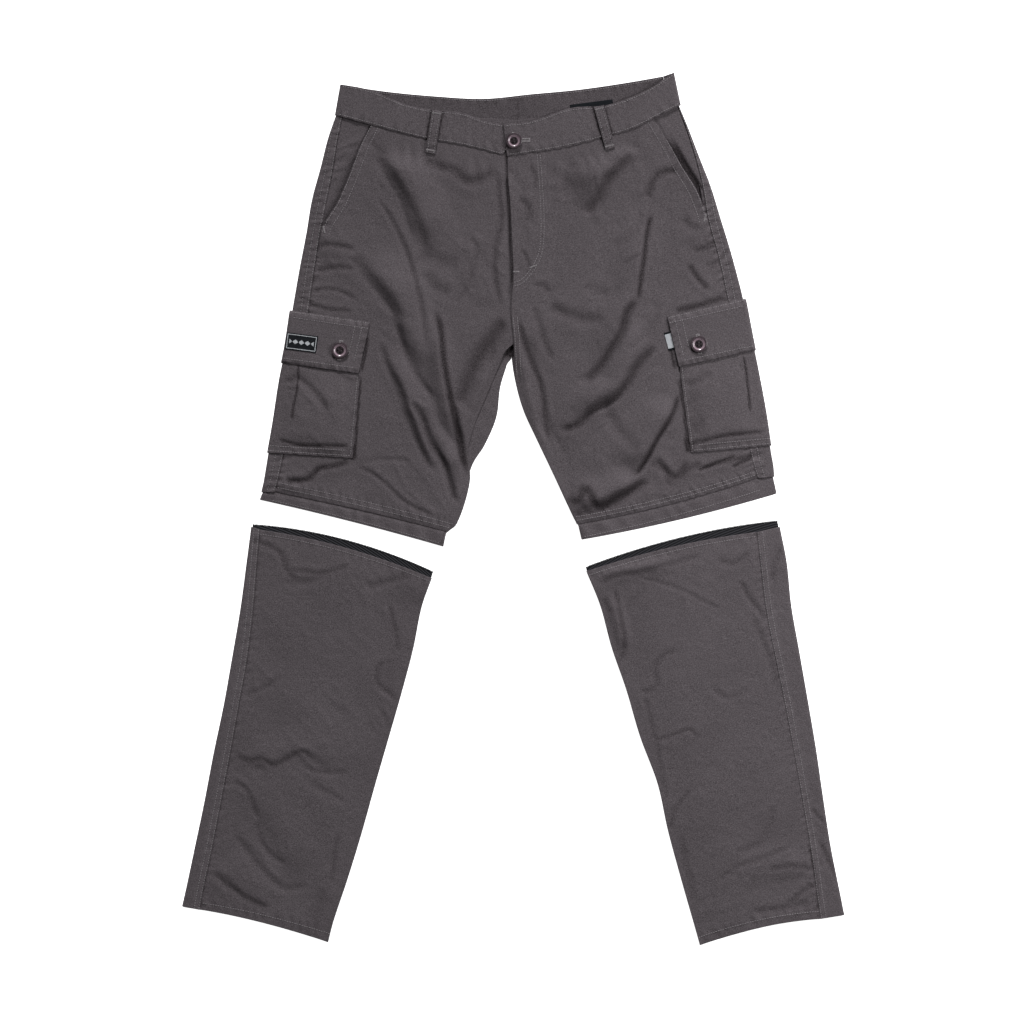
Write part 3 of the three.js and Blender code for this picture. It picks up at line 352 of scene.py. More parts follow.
# Valleys between folds and where a fold shuts on itself. dark: how much painted shade darkens the middle,
# for the light that doesn't reach it.
Valley = namedtuple("Valley", "depth width dark path")
SHORTS_VALLEYS = table(Valley, [
    (2.1, 3.5, 0.19, [(-176, 404), (-151, 360), (-135, 320), (-125, 283), (-117, 243), (-114, 207)]),
    (2.3, 4, 0.19, [(-256, 343), (-233, 342), (-208, 337)]),
    (2.3, 4, 0.19, [(-257, 308), (-233, 313), (-208, 312)]),
    (1.6, 3, 0.16, [(-263, 283), (-235, 285), (-204, 272)]),
    (2, 3, 0.19, [(-282, 274), (-252, 261), (-208, 256)]),
    (2.2, 8, 0.12, [(-213, 329), (-191, 306), (-169, 280), (-146, 243)]),
    (2.2, 4, 0.16, [(-151, 243), (-144, 209), (-134, 186), (-121, 165), (-104, 144)]),
    (2.3, 4.5, 0.16, [(-176, 222), (-164, 186), (-150, 160), (-139, 129), (-127, 95), (-116, 68),
        (-105, 46)]),
    (3.9, 4.5, 0.31, [(-135, 144), (-121, 121), (-107, 84), (-91, 58), (-81, 26), (-75, 4)]),
    (4.6, 4.2, 0.55, [(-103, 261), (-95, 231), (-90, 187), (-83, 150), (-77, 117), (-69, 88), (-64, 58),
        (-60, 40)]),
    (4.6, 9, 0.3, [(-9, 248), (-26, 226), (-44, 200), (-62, 164), (-74, 131)]),
    (1.6, 2, 0.46, [(-47, 95), (-51, 82), (-52, 69)]),
    (2.3, 4, 0.19, [(-21, 441), (-20, 412), (-17, 374), (-25, 338), (-26, 308), (-22, 282), (-16, 259)]),
    (1.6, 4, 0.09, [(-60, 358), (-49, 337), (-55, 311), (-66, 282), (-78, 266)]),
    (3, 7, 0.24, [(-116, 456), (-95, 446), (-77, 441), (-62, 426), (-44, 429), (-26, 441)]),
    (2.3, 12, 0.06, [(-117, 334), (-99, 321), (-73, 315)]),
    (2.1, 9, 0.09, [(-116, 306), (-99, 286), (-83, 278)]),
    (3.1, 4, 0.39, [(-300, 36), (-268, 38), (-254, 52), (-231, 57), (-211, 64)]),
    (1.6, 3, 0.19, [(-209, 60), (-173, 38), (-143, 10), (-104, -10)]),
    (1.2, 3.5, 0.08, [(-211, 60), (-165, 64), (-133, 62)]),
    (3, 7.5, 0.12, [(-185, 464), (-161, 438), (-139, 402), (-126, 373), (-117, 341), (-120, 308)]),
    (4.2, 8, 0.26, [(156, 464), (136, 445), (121, 426), (107, 400), (91, 381)]),
    (2.8, 18, 0.1, [(60, 430), (86, 422), (109, 425)]),
    (3.2, 5, 0.28, [(212, 439), (191, 436), (178, 422), (173, 402)]),
    (3.2, 3.2, 0.5, [(179, 386), (173, 360), (169, 326), (165, 300), (161, 269)]),
    (4.6, 5.5, 0.36, [(161, 272), (146, 254), (140, 231), (127, 209), (110, 183), (90, 162)]),
    (1.8, 6, 0.06, [(190, 255), (174, 230), (148, 204)]),
    (4, 5.5, 0.34, [(185, 214), (159, 183), (143, 157), (129, 143), (103, 129), (84, 110), (55, 99)]),
    (3.1, 2.8, 0.53, [(216, 152), (203, 117), (187, 92), (173, 66), (156, 40)]),
    (3.4, 6, 0.4, [(65, 16), (81, 9), (92, 25), (108, 4), (136, 17), (159, 29), (174, 39)]),
    (2.6, 5, 0.22, [(183, 68), (195, 51), (203, 32), (217, 47), (226, 66)]),
    (2.6, 3, 0.39, [(237, 49), (261, 58), (289, 70)]),
    (2.6, 3, 0.39, [(283, 53), (299, 62), (325, 68)]),
    (2.8, 3.4, 0.42, [(208, 257), (239, 264), (278, 276)]),
    (2.6, 3.6, 0.3, [(226, 318), (238, 300), (252, 285)]),
    (2.1, 4, 0.22, [(234, 335), (250, 339), (263, 347)]),
    (1.6, 3, 0.19, [(250, 316), (268, 321)]),
    (1.8, 6, 0.09, [(218, 377), (234, 364), (242, 368)]),
    (2.9, 3.4, 0.34, [(5, 248), (13, 217), (22, 191), (34, 161), (40, 125), (46, 86)]),
    (2.1, 5, 0.12, [(25, 264), (34, 231), (49, 192)]),
    (2.8, 8, 0.12, [(43, 264), (66, 254), (88, 246), (117, 246)]),
    (2, 5, 0.16, [(6, 404), (18, 391), (17, 370)]),
    (1.6, 2.6, 0.19, [(9, 337), (16, 326), (20, 313)]),
    (1.3, 3, 0.12, [(22, 451), (27, 433), (27, 415)]),
    (1.7, 4, 0.16, [(27, 289), (38, 291), (44, 280)]),
    (1.6, 8, 0.05, [(90, 287), (122, 278)]),
    (1, 2, 0.16, [(143, 318), (155, 326), (166, 332)]),
    (1.8, 7, 0.06, [(169, 385), (156, 360), (127, 337)]),
    (2, 8, 0.06, [(112, 147), (134, 103), (164, 74)]),
    (2.2, 1.3, 0.6, [(-11, 477), (-9, 430), (-6, 378), (-4, 330), (-3, 296), (-4, 286)]),
    (2.2, 4.2, 0.6, [(-86, 157), (-78, 126), (-72, 90), (-65, 53)]),
    (2, 5, 0.26, [(60, -4), (92, -6), (127, 4), (153, 20), (177, 40)]),
    (2, 5, 0.24, [(174, 61), (195, 51), (211, 40), (229, 53), (247, 61)]),
    (1.8, 4, 0.3, [(242, 51), (270, 61), (296, 66), (330, 74)]),
    (1.4, 5, 0.12, [(-166, 459), (-185, 477), (-195, 490)]),
    (1.6, 4, 0.4, [(-52, 95), (-49, 79), (-52, 64)]),
    (1.2, 3, 0.3, [(-221, 456), (-231, 448), (-242, 441)]),
    # Painted shadows beside the pockets and flaps: shallow valleys that are mostly dark
    (0.3, 1.4, 0.9, [(-189, 224.9), (-194, 200.2), (-198.1, 178.1)]),
    (0.3, 1.3, 0.85, [(-198.9, 174.2), (-203.3, 119.6), (-207.2, 66.3)]),
    (0.3, 3, 0.9, [(-209.3, 85.8), (-208, 63.7)]),
    (0.3, 1.6, 0.85, [(202.3, 211.9), (209.3, 182)]),
    (0.3, 1.4, 0.85, [(214.5, 172.9), (220.5, 130), (226.2, 78)]),
    (0.3, 3, 0.9, [(224.2, 93.6), (226.8, 72.8)]),
])
POCKET_VALLEYS = table(Valley, [
    (1.6, 1.5, 0.55, [(-280, 190), (-282, 155), (-286, 136), (-289, 113)]),
    (2, 4.5, 0.19, [(-299, 165), (-280, 169), (-268, 161), (-254, 146), (-240, 125)]),
    (1, 2, 0.19, [(-230, 177), (-209, 165)]),
    (0.9, 2, 0.16, [(-296, 157), (-281, 153)]),
    (1.8, 2.2, 0.4, [(-309, 91), (-280, 83), (-264, 82), (-239, 82), (-211, 81)]),
    (1.6, 2, 0.31, [(-302, 70), (-278, 65), (-263, 65)]),
    (1.6, 1.5, 0.55, [(298, 200), (303, 165), (307, 124)]),
    (1.6, 5, 0.09, [(224, 159), (244, 168), (257, 178)]),
    (1.3, 6, 0.08, [(221, 98), (237, 105), (246, 118)]),
    (2, 2.4, 0.34, [(224, 84), (242, 87), (269, 94), (328, 101)]),
])
LEG_VALLEYS = table(Valley, [
    (1.6, 4, 0.16, [(-343, -44), (-322, -47), (-303, -61), (-295, -81), (-282, -94)]),
    (1.3, 3.5, 0.12, [(-294, -79), (-265, -83), (-239, -82), (-213, -73)]),
    (1.2, 6, 0.07, [(-300, -95), (-272, -95), (-239, -86)]),
    (1.3, 5, 0.12, [(-192, -103), (-164, -95), (-133, -87)]),
    (1.5, 3, 0.18, [(-162, -124), (-157, -147), (-153, -165), (-150, -185)]),
    (1.7, 4, 0.16, [(-170, -196), (-178, -212), (-176, -229), (-164, -240), (-150, -251)]),
    (1, 8, 0.08, [(-161, -194), (-164, -222), (-159, -248)]),
    (0.9, 4, 0.08, [(-174, -261), (-166, -277), (-159, -291)]),
    (1, 4, 0.07, [(-350, -243), (-328, -235), (-298, -216)]),
    (1.4, 3.5, 0.15, [(-364, -318), (-348, -328), (-328, -325), (-315, -333), (-294, -325), (-278, -316),
        (-261, -322)]),
    (1.1, 4, 0.09, [(-274, -334), (-252, -343), (-214, -343)]),
    (1.2, 4, 0.1, [(-367, -355), (-348, -365), (-341, -382), (-333, -404)]),
    (1.3, 4, 0.1, [(-335, -407), (-328, -434), (-315, -451), (-296, -462)]),
    (1, 5, 0.07, [(-265, -355), (-246, -368), (-221, -380)]),
    (1.3, 5, 0.09, [(-364, -420), (-343, -451), (-320, -477), (-296, -494), (-265, -488)]),
    (1.5, 4.5, 0.12, [(-394, -472), (-372, -490), (-348, -506), (-317, -521)]),
    (1.2, 3, 0.14, [(-228, -422), (-233, -446), (-235, -464), (-238, -488)]),
    (1, 8, 0.07, [(-250, -493), (-255, -521), (-259, -552)]),
    (2, 4.5, 0.18, [(112, -98), (130, -88), (159, -84), (187, -82)]),
    (1.2, 4, 0.1, [(164, -82), (200, -73), (244, -60)]),
    (1.2, 2.5, 0.13, [(161, -88), (192, -96), (226, -109), (248, -121), (269, -131)]),
    (2.2, 3, 0.25, [(130, -103), (135, -124), (140, -147), (143, -170), (142, -188), (135, -198)]),
    (1, 3, 0.2, [(117, -116), (125, -134)]),
    (0.9, 4, 0.06, [(173, -105), (153, -121), (144, -139)]),
    (1.3, 4, 0.12, [(263, -65), (283, -72), (307, -56)]),
    (1.5, 4, 0.14, [(294, -92), (304, -114), (316, -129), (325, -144)]),
    (1.2, 5, 0.09, [(309, -139), (322, -170), (335, -203), (341, -238)]),
    (1.3, 4, 0.13, [(347, -49), (339, -70), (334, -95)]),
    (1.3, 4, 0.12, [(212, -182), (190, -196), (183, -212), (186, -228), (174, -238), (161, -235)]),
    (1, 4.5, 0.07, [(256, -230), (278, -247), (306, -233)]),
    (1.4, 2, 0.2, [(181, -302), (205, -295), (229, -287), (240, -299)]),
    (1.4, 3, 0.13, [(169, -242), (177, -274), (185, -307), (191, -339), (200, -377)]),
    (1.5, 3, 0.17, [(231, -363), (218, -381), (208, -394), (205, -417)]),
    (1.4, 4, 0.13, [(216, -421), (222, -454), (228, -480), (234, -512)]),
    (1.1, 5, 0.07, [(289, -448), (317, -437), (330, -417), (338, -386)]),
    (1, 4, 0.07, [(263, -486), (294, -464), (326, -454), (363, -437)]),
    (1.3, 4, 0.12, [(330, -469), (361, -465), (391, -469)]),
    (1.7, 3.5, 0.16, [(359, -514), (374, -499), (391, -488)]),
    (1.3, 5, 0.1, [(309, -524), (346, -520), (385, -511)]),
    (1.4, 4, 0.15, [(396, -432), (407, -454), (420, -480)]),
    (1.2, 3, 0.14, [(385, -389), (398, -403), (410, -411)]),
    (1.2, 2, 0.18, [(381, -433), (389, -467), (394, -495), (395, -525)]),
])
# Stitched lines on the fronts that follow no table.
FLY_STITCHES = [
    [(30, 461), (33, 420), (35, 376), (34, 345), (31, 330), (22, 312), (8, 297), (-1, 294)],
    [(34, 461), (37, 420), (39, 376), (38, 344), (35, 328), (25, 309), (10, 293), (0, 289)],
]
CROTCH_HOLE = (-5, 207)
FLY_TACKS = [((25, 315), 0.4), ((2, 308), 0.0)]


def length_property(name, description, default, least=0.0):
    return bpy.props.FloatProperty(
        name=name, description=description, default=default, min=least, unit="LENGTH")


def colour_property(name, description, default):
    return bpy.props.FloatVectorProperty(
        name=name, description=description, subtype="COLOR", size=3, default=default, min=0, max=1)


class TrouserSizes(bpy.types.PropertyGroup):
    """Sizes of what is sewn from the cloth, in metres"""
    grid: length_property("Cloth grid", "Step between the points of a cloth piece", 0.0024, 0.001)
    pucker: length_property("Pucker", "Depth of the puckers along a felled seam", 0.0006)
    crumple: length_property("Crumple", "Depth of the washed cloth's unevenness", 0.0011)
    stitch: length_property("Stitch length", "Length of one stitch", 0.0026, 0.001)
    stitch_pitch: length_property("Stitch pitch", "From one stitch to the next", 0.0033, 0.001)
    thread: length_property("Thread", "Thickness of the sewing thread", 0.0008, 0.0001)
    tooth_pitch: length_property("Zip pitch", "From one turn of the zip's coil to the next", 0.0015, 0.0005)
    waist_button: length_property("Waist button", "Radius of the waist button", 0.0105, 0.003)
    flap_button: length_property("Flap button", "Radius of a flap button", 0.011, 0.003)


class TrouserColours(bpy.types.PropertyGroup):
    """Colours of the cloth and trims"""
    twill: colour_property("Twill", "Washed cotton twill", (0.088, 0.0765, 0.083))
    worn: colour_property("Worn twill", "Twill rubbed paler on puckers and edges", (0.165, 0.147, 0.157))
    # Painted shade: twill darkened where little light reaches, in valleys, gaps and beside pockets and
    # loops; the button thread also takes it as its own dark tone
    shade: colour_property("Deep twill", "Twill where a fold shuts on itself", (0.014, 0.011, 0.012))
    thread: colour_property("Thread", "Sewing thread", (0.27, 0.25, 0.262))
    tape: colour_property("Zip tape", "Woven tape of the zips", (0.006, 0.006, 0.007))
    label: colour_property("Label", "Ground of the woven labels", (0.007, 0.009, 0.012))
    label_line: colour_property("Label lines", "Light threads of the woven labels", (0.50, 0.52, 0.55))
    button: colour_property("Buttons", "Resin of the buttons", (0.052, 0.038, 0.045))
    floor: colour_property("Floor", "Pale floor", (1.0, 1.0, 1.0))


def sizes():
    """The sizes, in millimetres."""
    group = bpy.context.scene.trouser_sizes
    names = TrouserSizes.__annotations__
    return SimpleNamespace(**{name: getattr(group, name) / MM for name in names})


def colours():
    return bpy.context.scene.trouser_colours


# Arithmetic on arrays of plan points
def lerp(a, b, t):
    return a + (b - a) * t


def plan(points):
    """The X and the Y of points."""
    return points[..., 0], points[..., 1]


def bulge(t):
    """0 at both ends of a length and 1 in its middle."""
    return 4 * t * (1 - t)


def heading(turn):
    return np.array([math.cos(turn), math.sin(turn)])


def smooth(t):
    t = np.clip(t, 0, 1)
    return t * t * (3 - 2 * t)


def distance(p, q):
    return np.linalg.norm(np.subtract(q, p), axis=-1)


def toward(p, q, length):
    """The point this far from p towards q."""
    p, q = np.asarray(p, float), np.asarray(q, float)
    share = np.asarray(length / np.maximum(distance(p, q), 1e-9))
    return p + (q - p) * share[..., None]


def smooth_line(points, at):
    """A smooth line through points, read at places that count the points from 0."""
    points = np.asarray(points, float)
    at = np.clip(np.asarray(at, float), 0, len(points) - 1)
    first = np.minimum(at.astype(int), len(points) - 2)
    t = (at - first)[..., None]
    padded = np.vstack([2 * points[0] - points[1], points, 2 * points[-1] - points[-2]])
    p0, p1, p2, p3 = (padded[first + k] for k in range(4))
    gap = [np.maximum(distance(a, b), 1e-6)[..., None] ** 0.5 for a, b in ((p0, p1), (p1, p2), (p2, p3))]
    leave = ((p1 - p0) / gap[0] - (p2 - p0) / (gap[0] + gap[1]) + (p2 - p1) / gap[1]) * gap[1]
    reach = ((p2 - p1) / gap[1] - (p3 - p1) / (gap[1] + gap[2]) + (p3 - p2) / gap[2]) * gap[1]
    return ((2 * t ** 3 - 3 * t ** 2 + 1) * p1 + (t ** 3 - 2 * t ** 2 + t) * leave
            + (3 * t ** 2 - 2 * t ** 3) * p2 + (t ** 3 - t ** 2) * reach)


def reader(rows):
    """Reads every column of a table at rows that need not be whole."""
    def column(name):
        values = [getattr(row, name) for row in rows]
        if np.ndim(values[0]) == 0:
            line = list(enumerate(values))
            return lambda at: smooth_line(line, at)[..., 1]
        return lambda at: smooth_line(values, at)
    columns = {name: column(name) for name in rows[0]._fields}
    return lambda at: SimpleNamespace(**{name: read(at) for name, read in columns.items()})


def run_of(line):
    """How far each point of a line lies along it."""
    return np.concatenate([[0], np.cumsum(distance(line[:-1], line[1:]))])


def points_at(line, run, at):
    """Points of a line at distances along it."""
    return np.stack([np.interp(at, run, column) for column in line.T], axis=-1)


def resampled(path, step):
    """A smooth line through a path's points, with a point about every step."""
    line = smooth_line(path, np.linspace(0, len(path) - 1, 12 * len(path)))
    run = run_of(line)
    return points_at(line, run, np.linspace(0, run[-1], max(2, int(run[-1] / step) + 1)))


def line_length(line):
    return distance(line[:-1], line[1:]).sum()


def beside(line, offset):
    """A line moved sideways, to the left of the way it runs."""
    ahead = np.gradient(line, axis=0)
    ahead /= np.linalg.norm(ahead, axis=1, keepdims=True)
    return line + offset * np.stack([-ahead[:, 1], ahead[:, 0]], axis=-1)


def nearest_on(line, x, y):
    """Nearest place on a line: how far away, on which hand (left is 1), and the share along."""
    start, step = line[:-1], np.diff(line, axis=0)
    px, py = x[..., None] - start[:, 0], y[..., None] - start[:, 1]
    t = np.clip((px * step[:, 0] + py * step[:, 1]) / (step ** 2).sum(1), 0, 1)
    away = np.hypot(px - t * step[:, 0], py - t * step[:, 1])
    best = away.argmin(-1)[..., None]
    pick = lambda values: np.take_along_axis(values, best, -1)[..., 0]
    hand = np.where(pick(step[:, 0] * py - step[:, 1] * px) < 0, -1, 1)
    return pick(away), hand, (best[..., 0] + pick(t)) / len(start)


def near_line(line, x, y, reach):
    """Which points lie in the line's box, widened by reach."""
    low, high = line.min(0) - reach, line.max(0) + reach
    return (x > low[0]) & (x < high[0]) & (y > low[1]) & (y < high[1])


def fading(away, lap):
    return smooth(1 - (away - lap.flat) / lap.fade)


def beside_line(line, lap, x, y):
    """1 along a line and as far as flat beside it, fading to 0."""
    result = np.zeros(np.shape(x))
    near = near_line(line, x, y, lap.flat + lap.fade)
    if near.any():
        result[near] = fading(nearest_on(line, x[near], y[near])[0], lap)
    return result


def outside_of(corners, x, y):
    """How far points lie outside an outline of four corners."""
    corners = np.asarray(corners, float)
    centre = corners.mean(0)
    result = np.full(np.shape(x), -np.inf)
    for p, q in zip(corners, np.roll(corners, -1, axis=0)):
        normal = np.array([q[1] - p[1], p[0] - q[0]]) / distance(p, q)
        side = np.sign((p - centre) @ normal)
        result = np.maximum(result, side * ((x - p[0]) * normal[0] + (y - p[1]) * normal[1]))
    return result


def soft_noise(x, y, scale, seed):
    """Smooth unevenness about 0, from -1 to 1, with bumps about as wide as scale."""
    turn = np.random.default_rng(seed).random((64, 64)) * 2 * np.pi
    u, v = x / scale + 500, y / scale + 500
    i, j = np.floor(u).astype(int), np.floor(v).astype(int)
    a, b = u - i, v - j

    def corner(di, dj):
        angle = turn[(i + di) % 64, (j + dj) % 64]
        return np.cos(angle) * (a - di) + np.sin(angle) * (b - dj)

    across = [lerp(corner(0, dj), corner(1, dj), smooth(a)) for dj in (0, 1)]
    return 1.5 * lerp(across[0], across[1], smooth(b))


def slanted(x, y, turn, stretch):
    """Plan points turned, and drawn out along the turned X axis."""
    return (x * math.cos(turn) + y * math.sin(turn)) / stretch, y * math.cos(turn) - x * math.sin(turn)


# Relief of the cloth
def crest_height(folds, x, y, from_flank=False):
    """Height of rounded folds, each steep to the right of its path.
    The path is the crest or, with from_flank, the middle of the steep side."""
    total = np.zeros(np.shape(x))
    for fold in folds:
        line = resampled(fold.path, RELIEF_STEP)
        near = near_line(line, x, y, fold.steep + fold.gentle)
        if not near.any():
            continue
        away, hand, along = nearest_on(line, x[near], y[near])
        downhill = (fold.steep / 2 if from_flank else 0) - hand * away
        falls = np.clip(1 - (downhill / fold.steep) ** 2, 0, 1) ** 1.4
        rises = smooth(1 + downhill / fold.gentle)
        taper = smooth(along / FOLD_TAPER) * smooth((1 - along) / FOLD_TAPER)
        total[near] += (fold.rise * taper * np.where(downhill > 0, falls, rises)) ** 3
    return np.cbrt(total)


def sunk(valleys, x, y):
    """Height, below 0 in a valley and above 0 beside it, and how much painted shade darkens it."""
    height, dark = np.zeros(np.shape(x)), np.zeros(np.shape(x))
    for valley in valleys:
        line = resampled(valley.path, RELIEF_STEP)
        near = near_line(line, x, y, 5 * valley.width)
        if near.any():
            away, _, along = nearest_on(line, x[near], y[near])
            share = away / valley.width
            taper = smooth(along / VALLEY_TAPER) * smooth((1 - along) / VALLEY_TAPER)
            middle = taper * np.exp(-share ** 2)
            height[near] += valley.depth * (0.4 * taper * np.exp(-(share / 2.6) ** 2) - middle)
            dark[near] = np.maximum(dark[near], valley.dark * middle)
    return height, dark


def crumple(x, y):
    """Broad swells, drawn-out slanting creases and fine unevenness of washed cloth."""
    bend = 14 * soft_noise(x, y, 60, 3)
    side = np.where(x < 0, -1, 1)
    slant_x, slant_y = slanted(x + bend, y - bend, 0.95, 2.6)
    mirror_x, mirror_y = slanted(-x + bend, y + bend, 0.95, 2.6)
    along, over = np.where(side > 0, slant_x, mirror_x), np.where(side > 0, slant_y, mirror_y)
    crease = np.clip(1 - 3.2 * np.abs(soft_noise(along, over, 24, 7)), 0, 1)
    patch = smooth(0.35 + 1.6 * soft_noise(x, y, 75, 17))
    broad = soft_noise(along, over, 42, 5)
    small = soft_noise(x + bend, y, 15, 9)
    fine = soft_noise(x, y, 6, 11)
    return sizes().crumple * (0.9 * broad + 0.75 * patch * crease ** 1.5 + 0.22 * small + 0.06 * fine)


# A stitched line, and the puckers beside it. groove: how deep the stitches draw it in.
Seam = namedtuple("Seam", "line depth width pitch groove seed")


def puckers(seams, x, y):
    """Short ridges that a stitched seam draws up on both sides of itself."""
    height = np.zeros(np.shape(x))
    for seam in seams:
        near = near_line(seam.line, x, y, 2.2 * seam.width)
        if not near.any():
            continue
        away, hand, along = nearest_on(seam.line, x[near], y[near])
        run = along * line_length(seam.line) + seam.seed * 31
        flat = np.zeros_like(run)
        shift = 1.1 * soft_noise(run, flat, 2.6 * seam.pitch, seam.seed)
        lean = 0.22 * hand * away / seam.width
        wave = np.cos(2 * np.pi * (run / seam.pitch + shift + lean))
        strength = 0.8 + 0.7 * soft_noise(run, flat, 1.9 * seam.pitch, seam.seed + 5)
        fade = np.exp(-(away / seam.width) ** 2)
        height[near] += seam.depth * strength * wave * fade - seam.groove * np.exp(-(away / 1.3) ** 2)
    return height


def line_across(read, inner, row, start=0.0, end=1.0):
    """The line of one section from the side seam to its inner end, which is the column of that name."""
    section = read(np.full(40, row))
    u = np.linspace(start, end, 40)
    line = lerp(section.seam, getattr(section, inner), u[:, None])
    line[:, 1] += bulge(u) * section.bow
    return line


class Half:
    """One half of the shorts: its tables and the lines worked out from them."""
    def __init__(self, name, sections, cargo, flap):
        self.name, self.cargo, self.flap = name, cargo, flap
        self.read = reader(sections)
        self.edges = self.read(np.linspace(0, len(sections) - 1, 400)).edge
        self.slash = self.slash_at(np.linspace(0, SLASH_ROW, 13))
        self.seam = self.read(np.linspace(0, HEM_ROW, 160)).seam
        top, bottom = (self.edge_at(row.side_y) for row in (cargo[0], cargo[-1]))
        self.cargo_front = [cargo[0].front, top, bottom, cargo[-1].front]
        self.cargo_back = self.back_corners(cargo)
        self.flap_back = self.back_corners(flap)
        self.relief_seams = self.make_seams()

    def edge_at(self, y):
        return self.edges[np.abs(self.edges[:, 1] - y).argmin()]

    def slash_at(self, rows):
        section = self.read(rows)
        return toward(section.seam, section.front, np.maximum(section.slash, 0))

    def back_corners(self, rows):
        """Corners of the part of a pocket that lies on the back."""
        top, bottom = (self.edge_at(row.side_y) for row in (rows[0], rows[-1]))
        return [top, toward(top, rows[0].front, POCKET_BACK_WIDTH),
                toward(bottom, rows[-1].front, POCKET_BACK_WIDTH), bottom]

    def across(self, row, start=0.0, end=1.0):
        return line_across(self.read, "front", row, start, end)

    def make_seams(self):
        depth = sizes().pucker
        seed = 1 if self.name == "right" else 2
        felled = resampled(self.seam, SEAM_STEP)
        hems = [Seam(self.across(row), 0.45 * depth, 6, 12, 0.12, seed + 2 + k)
                for k, row in enumerate(HEM_STITCH_ROWS)]
        return [
            Seam(felled, depth, 7, 9, 0.25, seed),
            Seam(beside(felled, SIDE_STITCHES[1] * OUTWARD[self.name]), depth, 6, 8, 0.2, seed + 20),
            Seam(resampled(self.slash, SEAM_STEP), 0.7 * depth, 7, 10, 0.0, seed + 30),
            Seam(self.across(SIDE_CREASE_ROW), 0.35 * depth, 12, 23, 0.0, seed + 40),
            *hems,
        ]


def lap_raise(half, x, y):
    """Rise of the fronts over a pocket's facing and over the other front."""
    raised = beside_line(half.slash, SLASH_LAP, x, y)
    if half.name == "left":
        raised = np.maximum(raised, beside_line(fly_line(), FLY_LAP, x, y))
    return (LAYER + SLACK) * raised


def fly_line():
    return np.array([WAISTBAND_LEFT[0].upper, *(row.front for row in SHORTS_LEFT[:CROTCH_ROW + 1])], float)


def inseam_under(row):
    over_front = smooth((CROTCH_ROW + 0.8 - row) / 1.2)
    over_cover = smooth((row - HEM_ROW + 2.4) / 1.4)
    return lerp(LAYER, FRONT_LIFT, np.maximum(over_front, over_cover))


def shorts_relief(x, y):
    """Folds and valleys of the shorts, before they are held down at the seams."""
    height = FOLD_LIFT * crest_height(SHORTS_FOLDS, x, y) + sunk(SHORTS_VALLEYS, x, y)[0]
    return height + crumple(x, y)


def front_base(half, row, u, x, y):
    """Underside of a front without its folds. row is a column of places, u the share across."""
    section = half.read(row)
    from_inseam = (1 - u) * distance(section.seam, section.front)
    base = lerp(inseam_under(row), FRONT_LIFT, smooth(from_inseam / INSEAM_SLOPE))
    return base + lap_raise(half, x, y), from_inseam


def front_under(half, row, u, x, y):
    """Underside of a front with its folds, held down at the seams and under the cargo pocket."""
    base, from_inseam = front_base(half, row, u, x, y)
    off_pocket = 1 - fading(outside_of(half.cargo_front, x, y), POCKET_MARGIN)
    clear = (smooth(from_inseam / SEAM_MARGIN) * smooth((row - BAND_ROW + 0.9) / 0.9)
             * smooth((HEM_ROW - row) / 0.8) * off_pocket)
    bare = smooth((row - 0.4) / 0.4) * smooth(outside_of(half.cargo_front, x, y) / POCKET_FADE)
    lifted = fly_gape(half, row, from_inseam) + mouth_gape(half, x, y) + inseam_roll(row, from_inseam)
    relief = clear * shorts_relief(x, y) + bare * puckers(half.relief_seams, x, y)
    return np.maximum(base + relief + lifted, LAYER)


def fly_gape(half, row, from_edge):
    """The fly's upper edge stands a little off, and the front under it dips."""
    depth = 1.9 if half.name == "left" else -1.3
    return depth * np.exp(-(from_edge / 9) ** 2) * smooth((row - 0.9) / 0.4) * smooth((4.9 - row) / 0.5)


def inseam_roll(row, from_inseam):
    """A ridge of seam allowance with a valley beside it below the crotch, and a dip at the hem."""
    shown = smooth((row - CROTCH_ROW + 0.1) / 0.4) * smooth((HEM_ROW - 2 - row) / 1.5)
    ridge = 1.6 * np.exp(-((from_inseam - 7) / 5) ** 2)
    valley = 2.6 * np.exp(-((from_inseam - 20) / 8) ** 2)
    return shown * (ridge - valley) - HEM_DIP * smooth((row - HEM_ROW + 0.35) / 0.35)


def mouth_gape(half, x, y):
    """A pocket's mouth stands off its facing, most on the left."""
    result = np.zeros(np.shape(x))
    near = near_line(half.slash, x, y, 24)
    if near.any():
        away, _, along = nearest_on(half.slash, x[near], y[near])
        rise = MOUTH_RISE[half.name] * smooth((along - 0.15) / 0.35) * smooth((1 - along) / 0.2)
        result[near] = rise * np.exp(-(away / 9) ** 2)
    return result


def flat_top(half, x, y):
    return FRONT_TOP + lap_raise(half, x, y)


def band_top(half, x, y):
    return flat_top(half, x, np.minimum(y, BAND_FLAT_Y)) + SLACK + LAYER


def back_under(half, row, x, y):
    over_band = 2 * LAYER * smooth((BAND_ROW - row) / 0.9)
    over_cargo = LAYER * fading(outside_of(half.cargo_back, x, y), POCKET_LAP)
    over_flap = LAYER * fading(outside_of(half.flap_back, x, y), POCKET_LAP)
    return np.maximum(over_band, over_cargo + over_flap)


# Cloth meshes
def close_steps(length, step, first=True, last=True):
    """Shares of a length, a step apart, and closer together at its open ends."""
    near_edge = np.array([0, 0.25, 0.6, 1.2])
    start = near_edge if first else np.array([0.0])
    end = length - (near_edge if last else np.array([0.0]))[::-1]
    count = max(2, int(round((end[0] - start[-1]) / step)))
    return np.concatenate([start, np.linspace(start[-1], end[0], count + 1)[1:-1], end]) / length


def even_rows(read, column, first, last, step):
    """Places down a table that lie a step apart along one of its columns."""
    places = np.linspace(first, last, 400)
    run = run_of(getattr(read(places), column))
    return np.interp(close_steps(run[-1], step) * run[-1], run, places)


def grid_points(xy, z):
    return np.concatenate([xy, np.broadcast_to(z, xy.shape[:2])[..., None]], axis=-1)


def run_along(points, axis):
    length = np.linalg.norm(np.diff(points, axis=axis), axis=-1).cumsum(axis)
    pad = [(0, 0), (0, 0)]
    pad[axis] = (1, 0)
    return np.pad(length, pad)


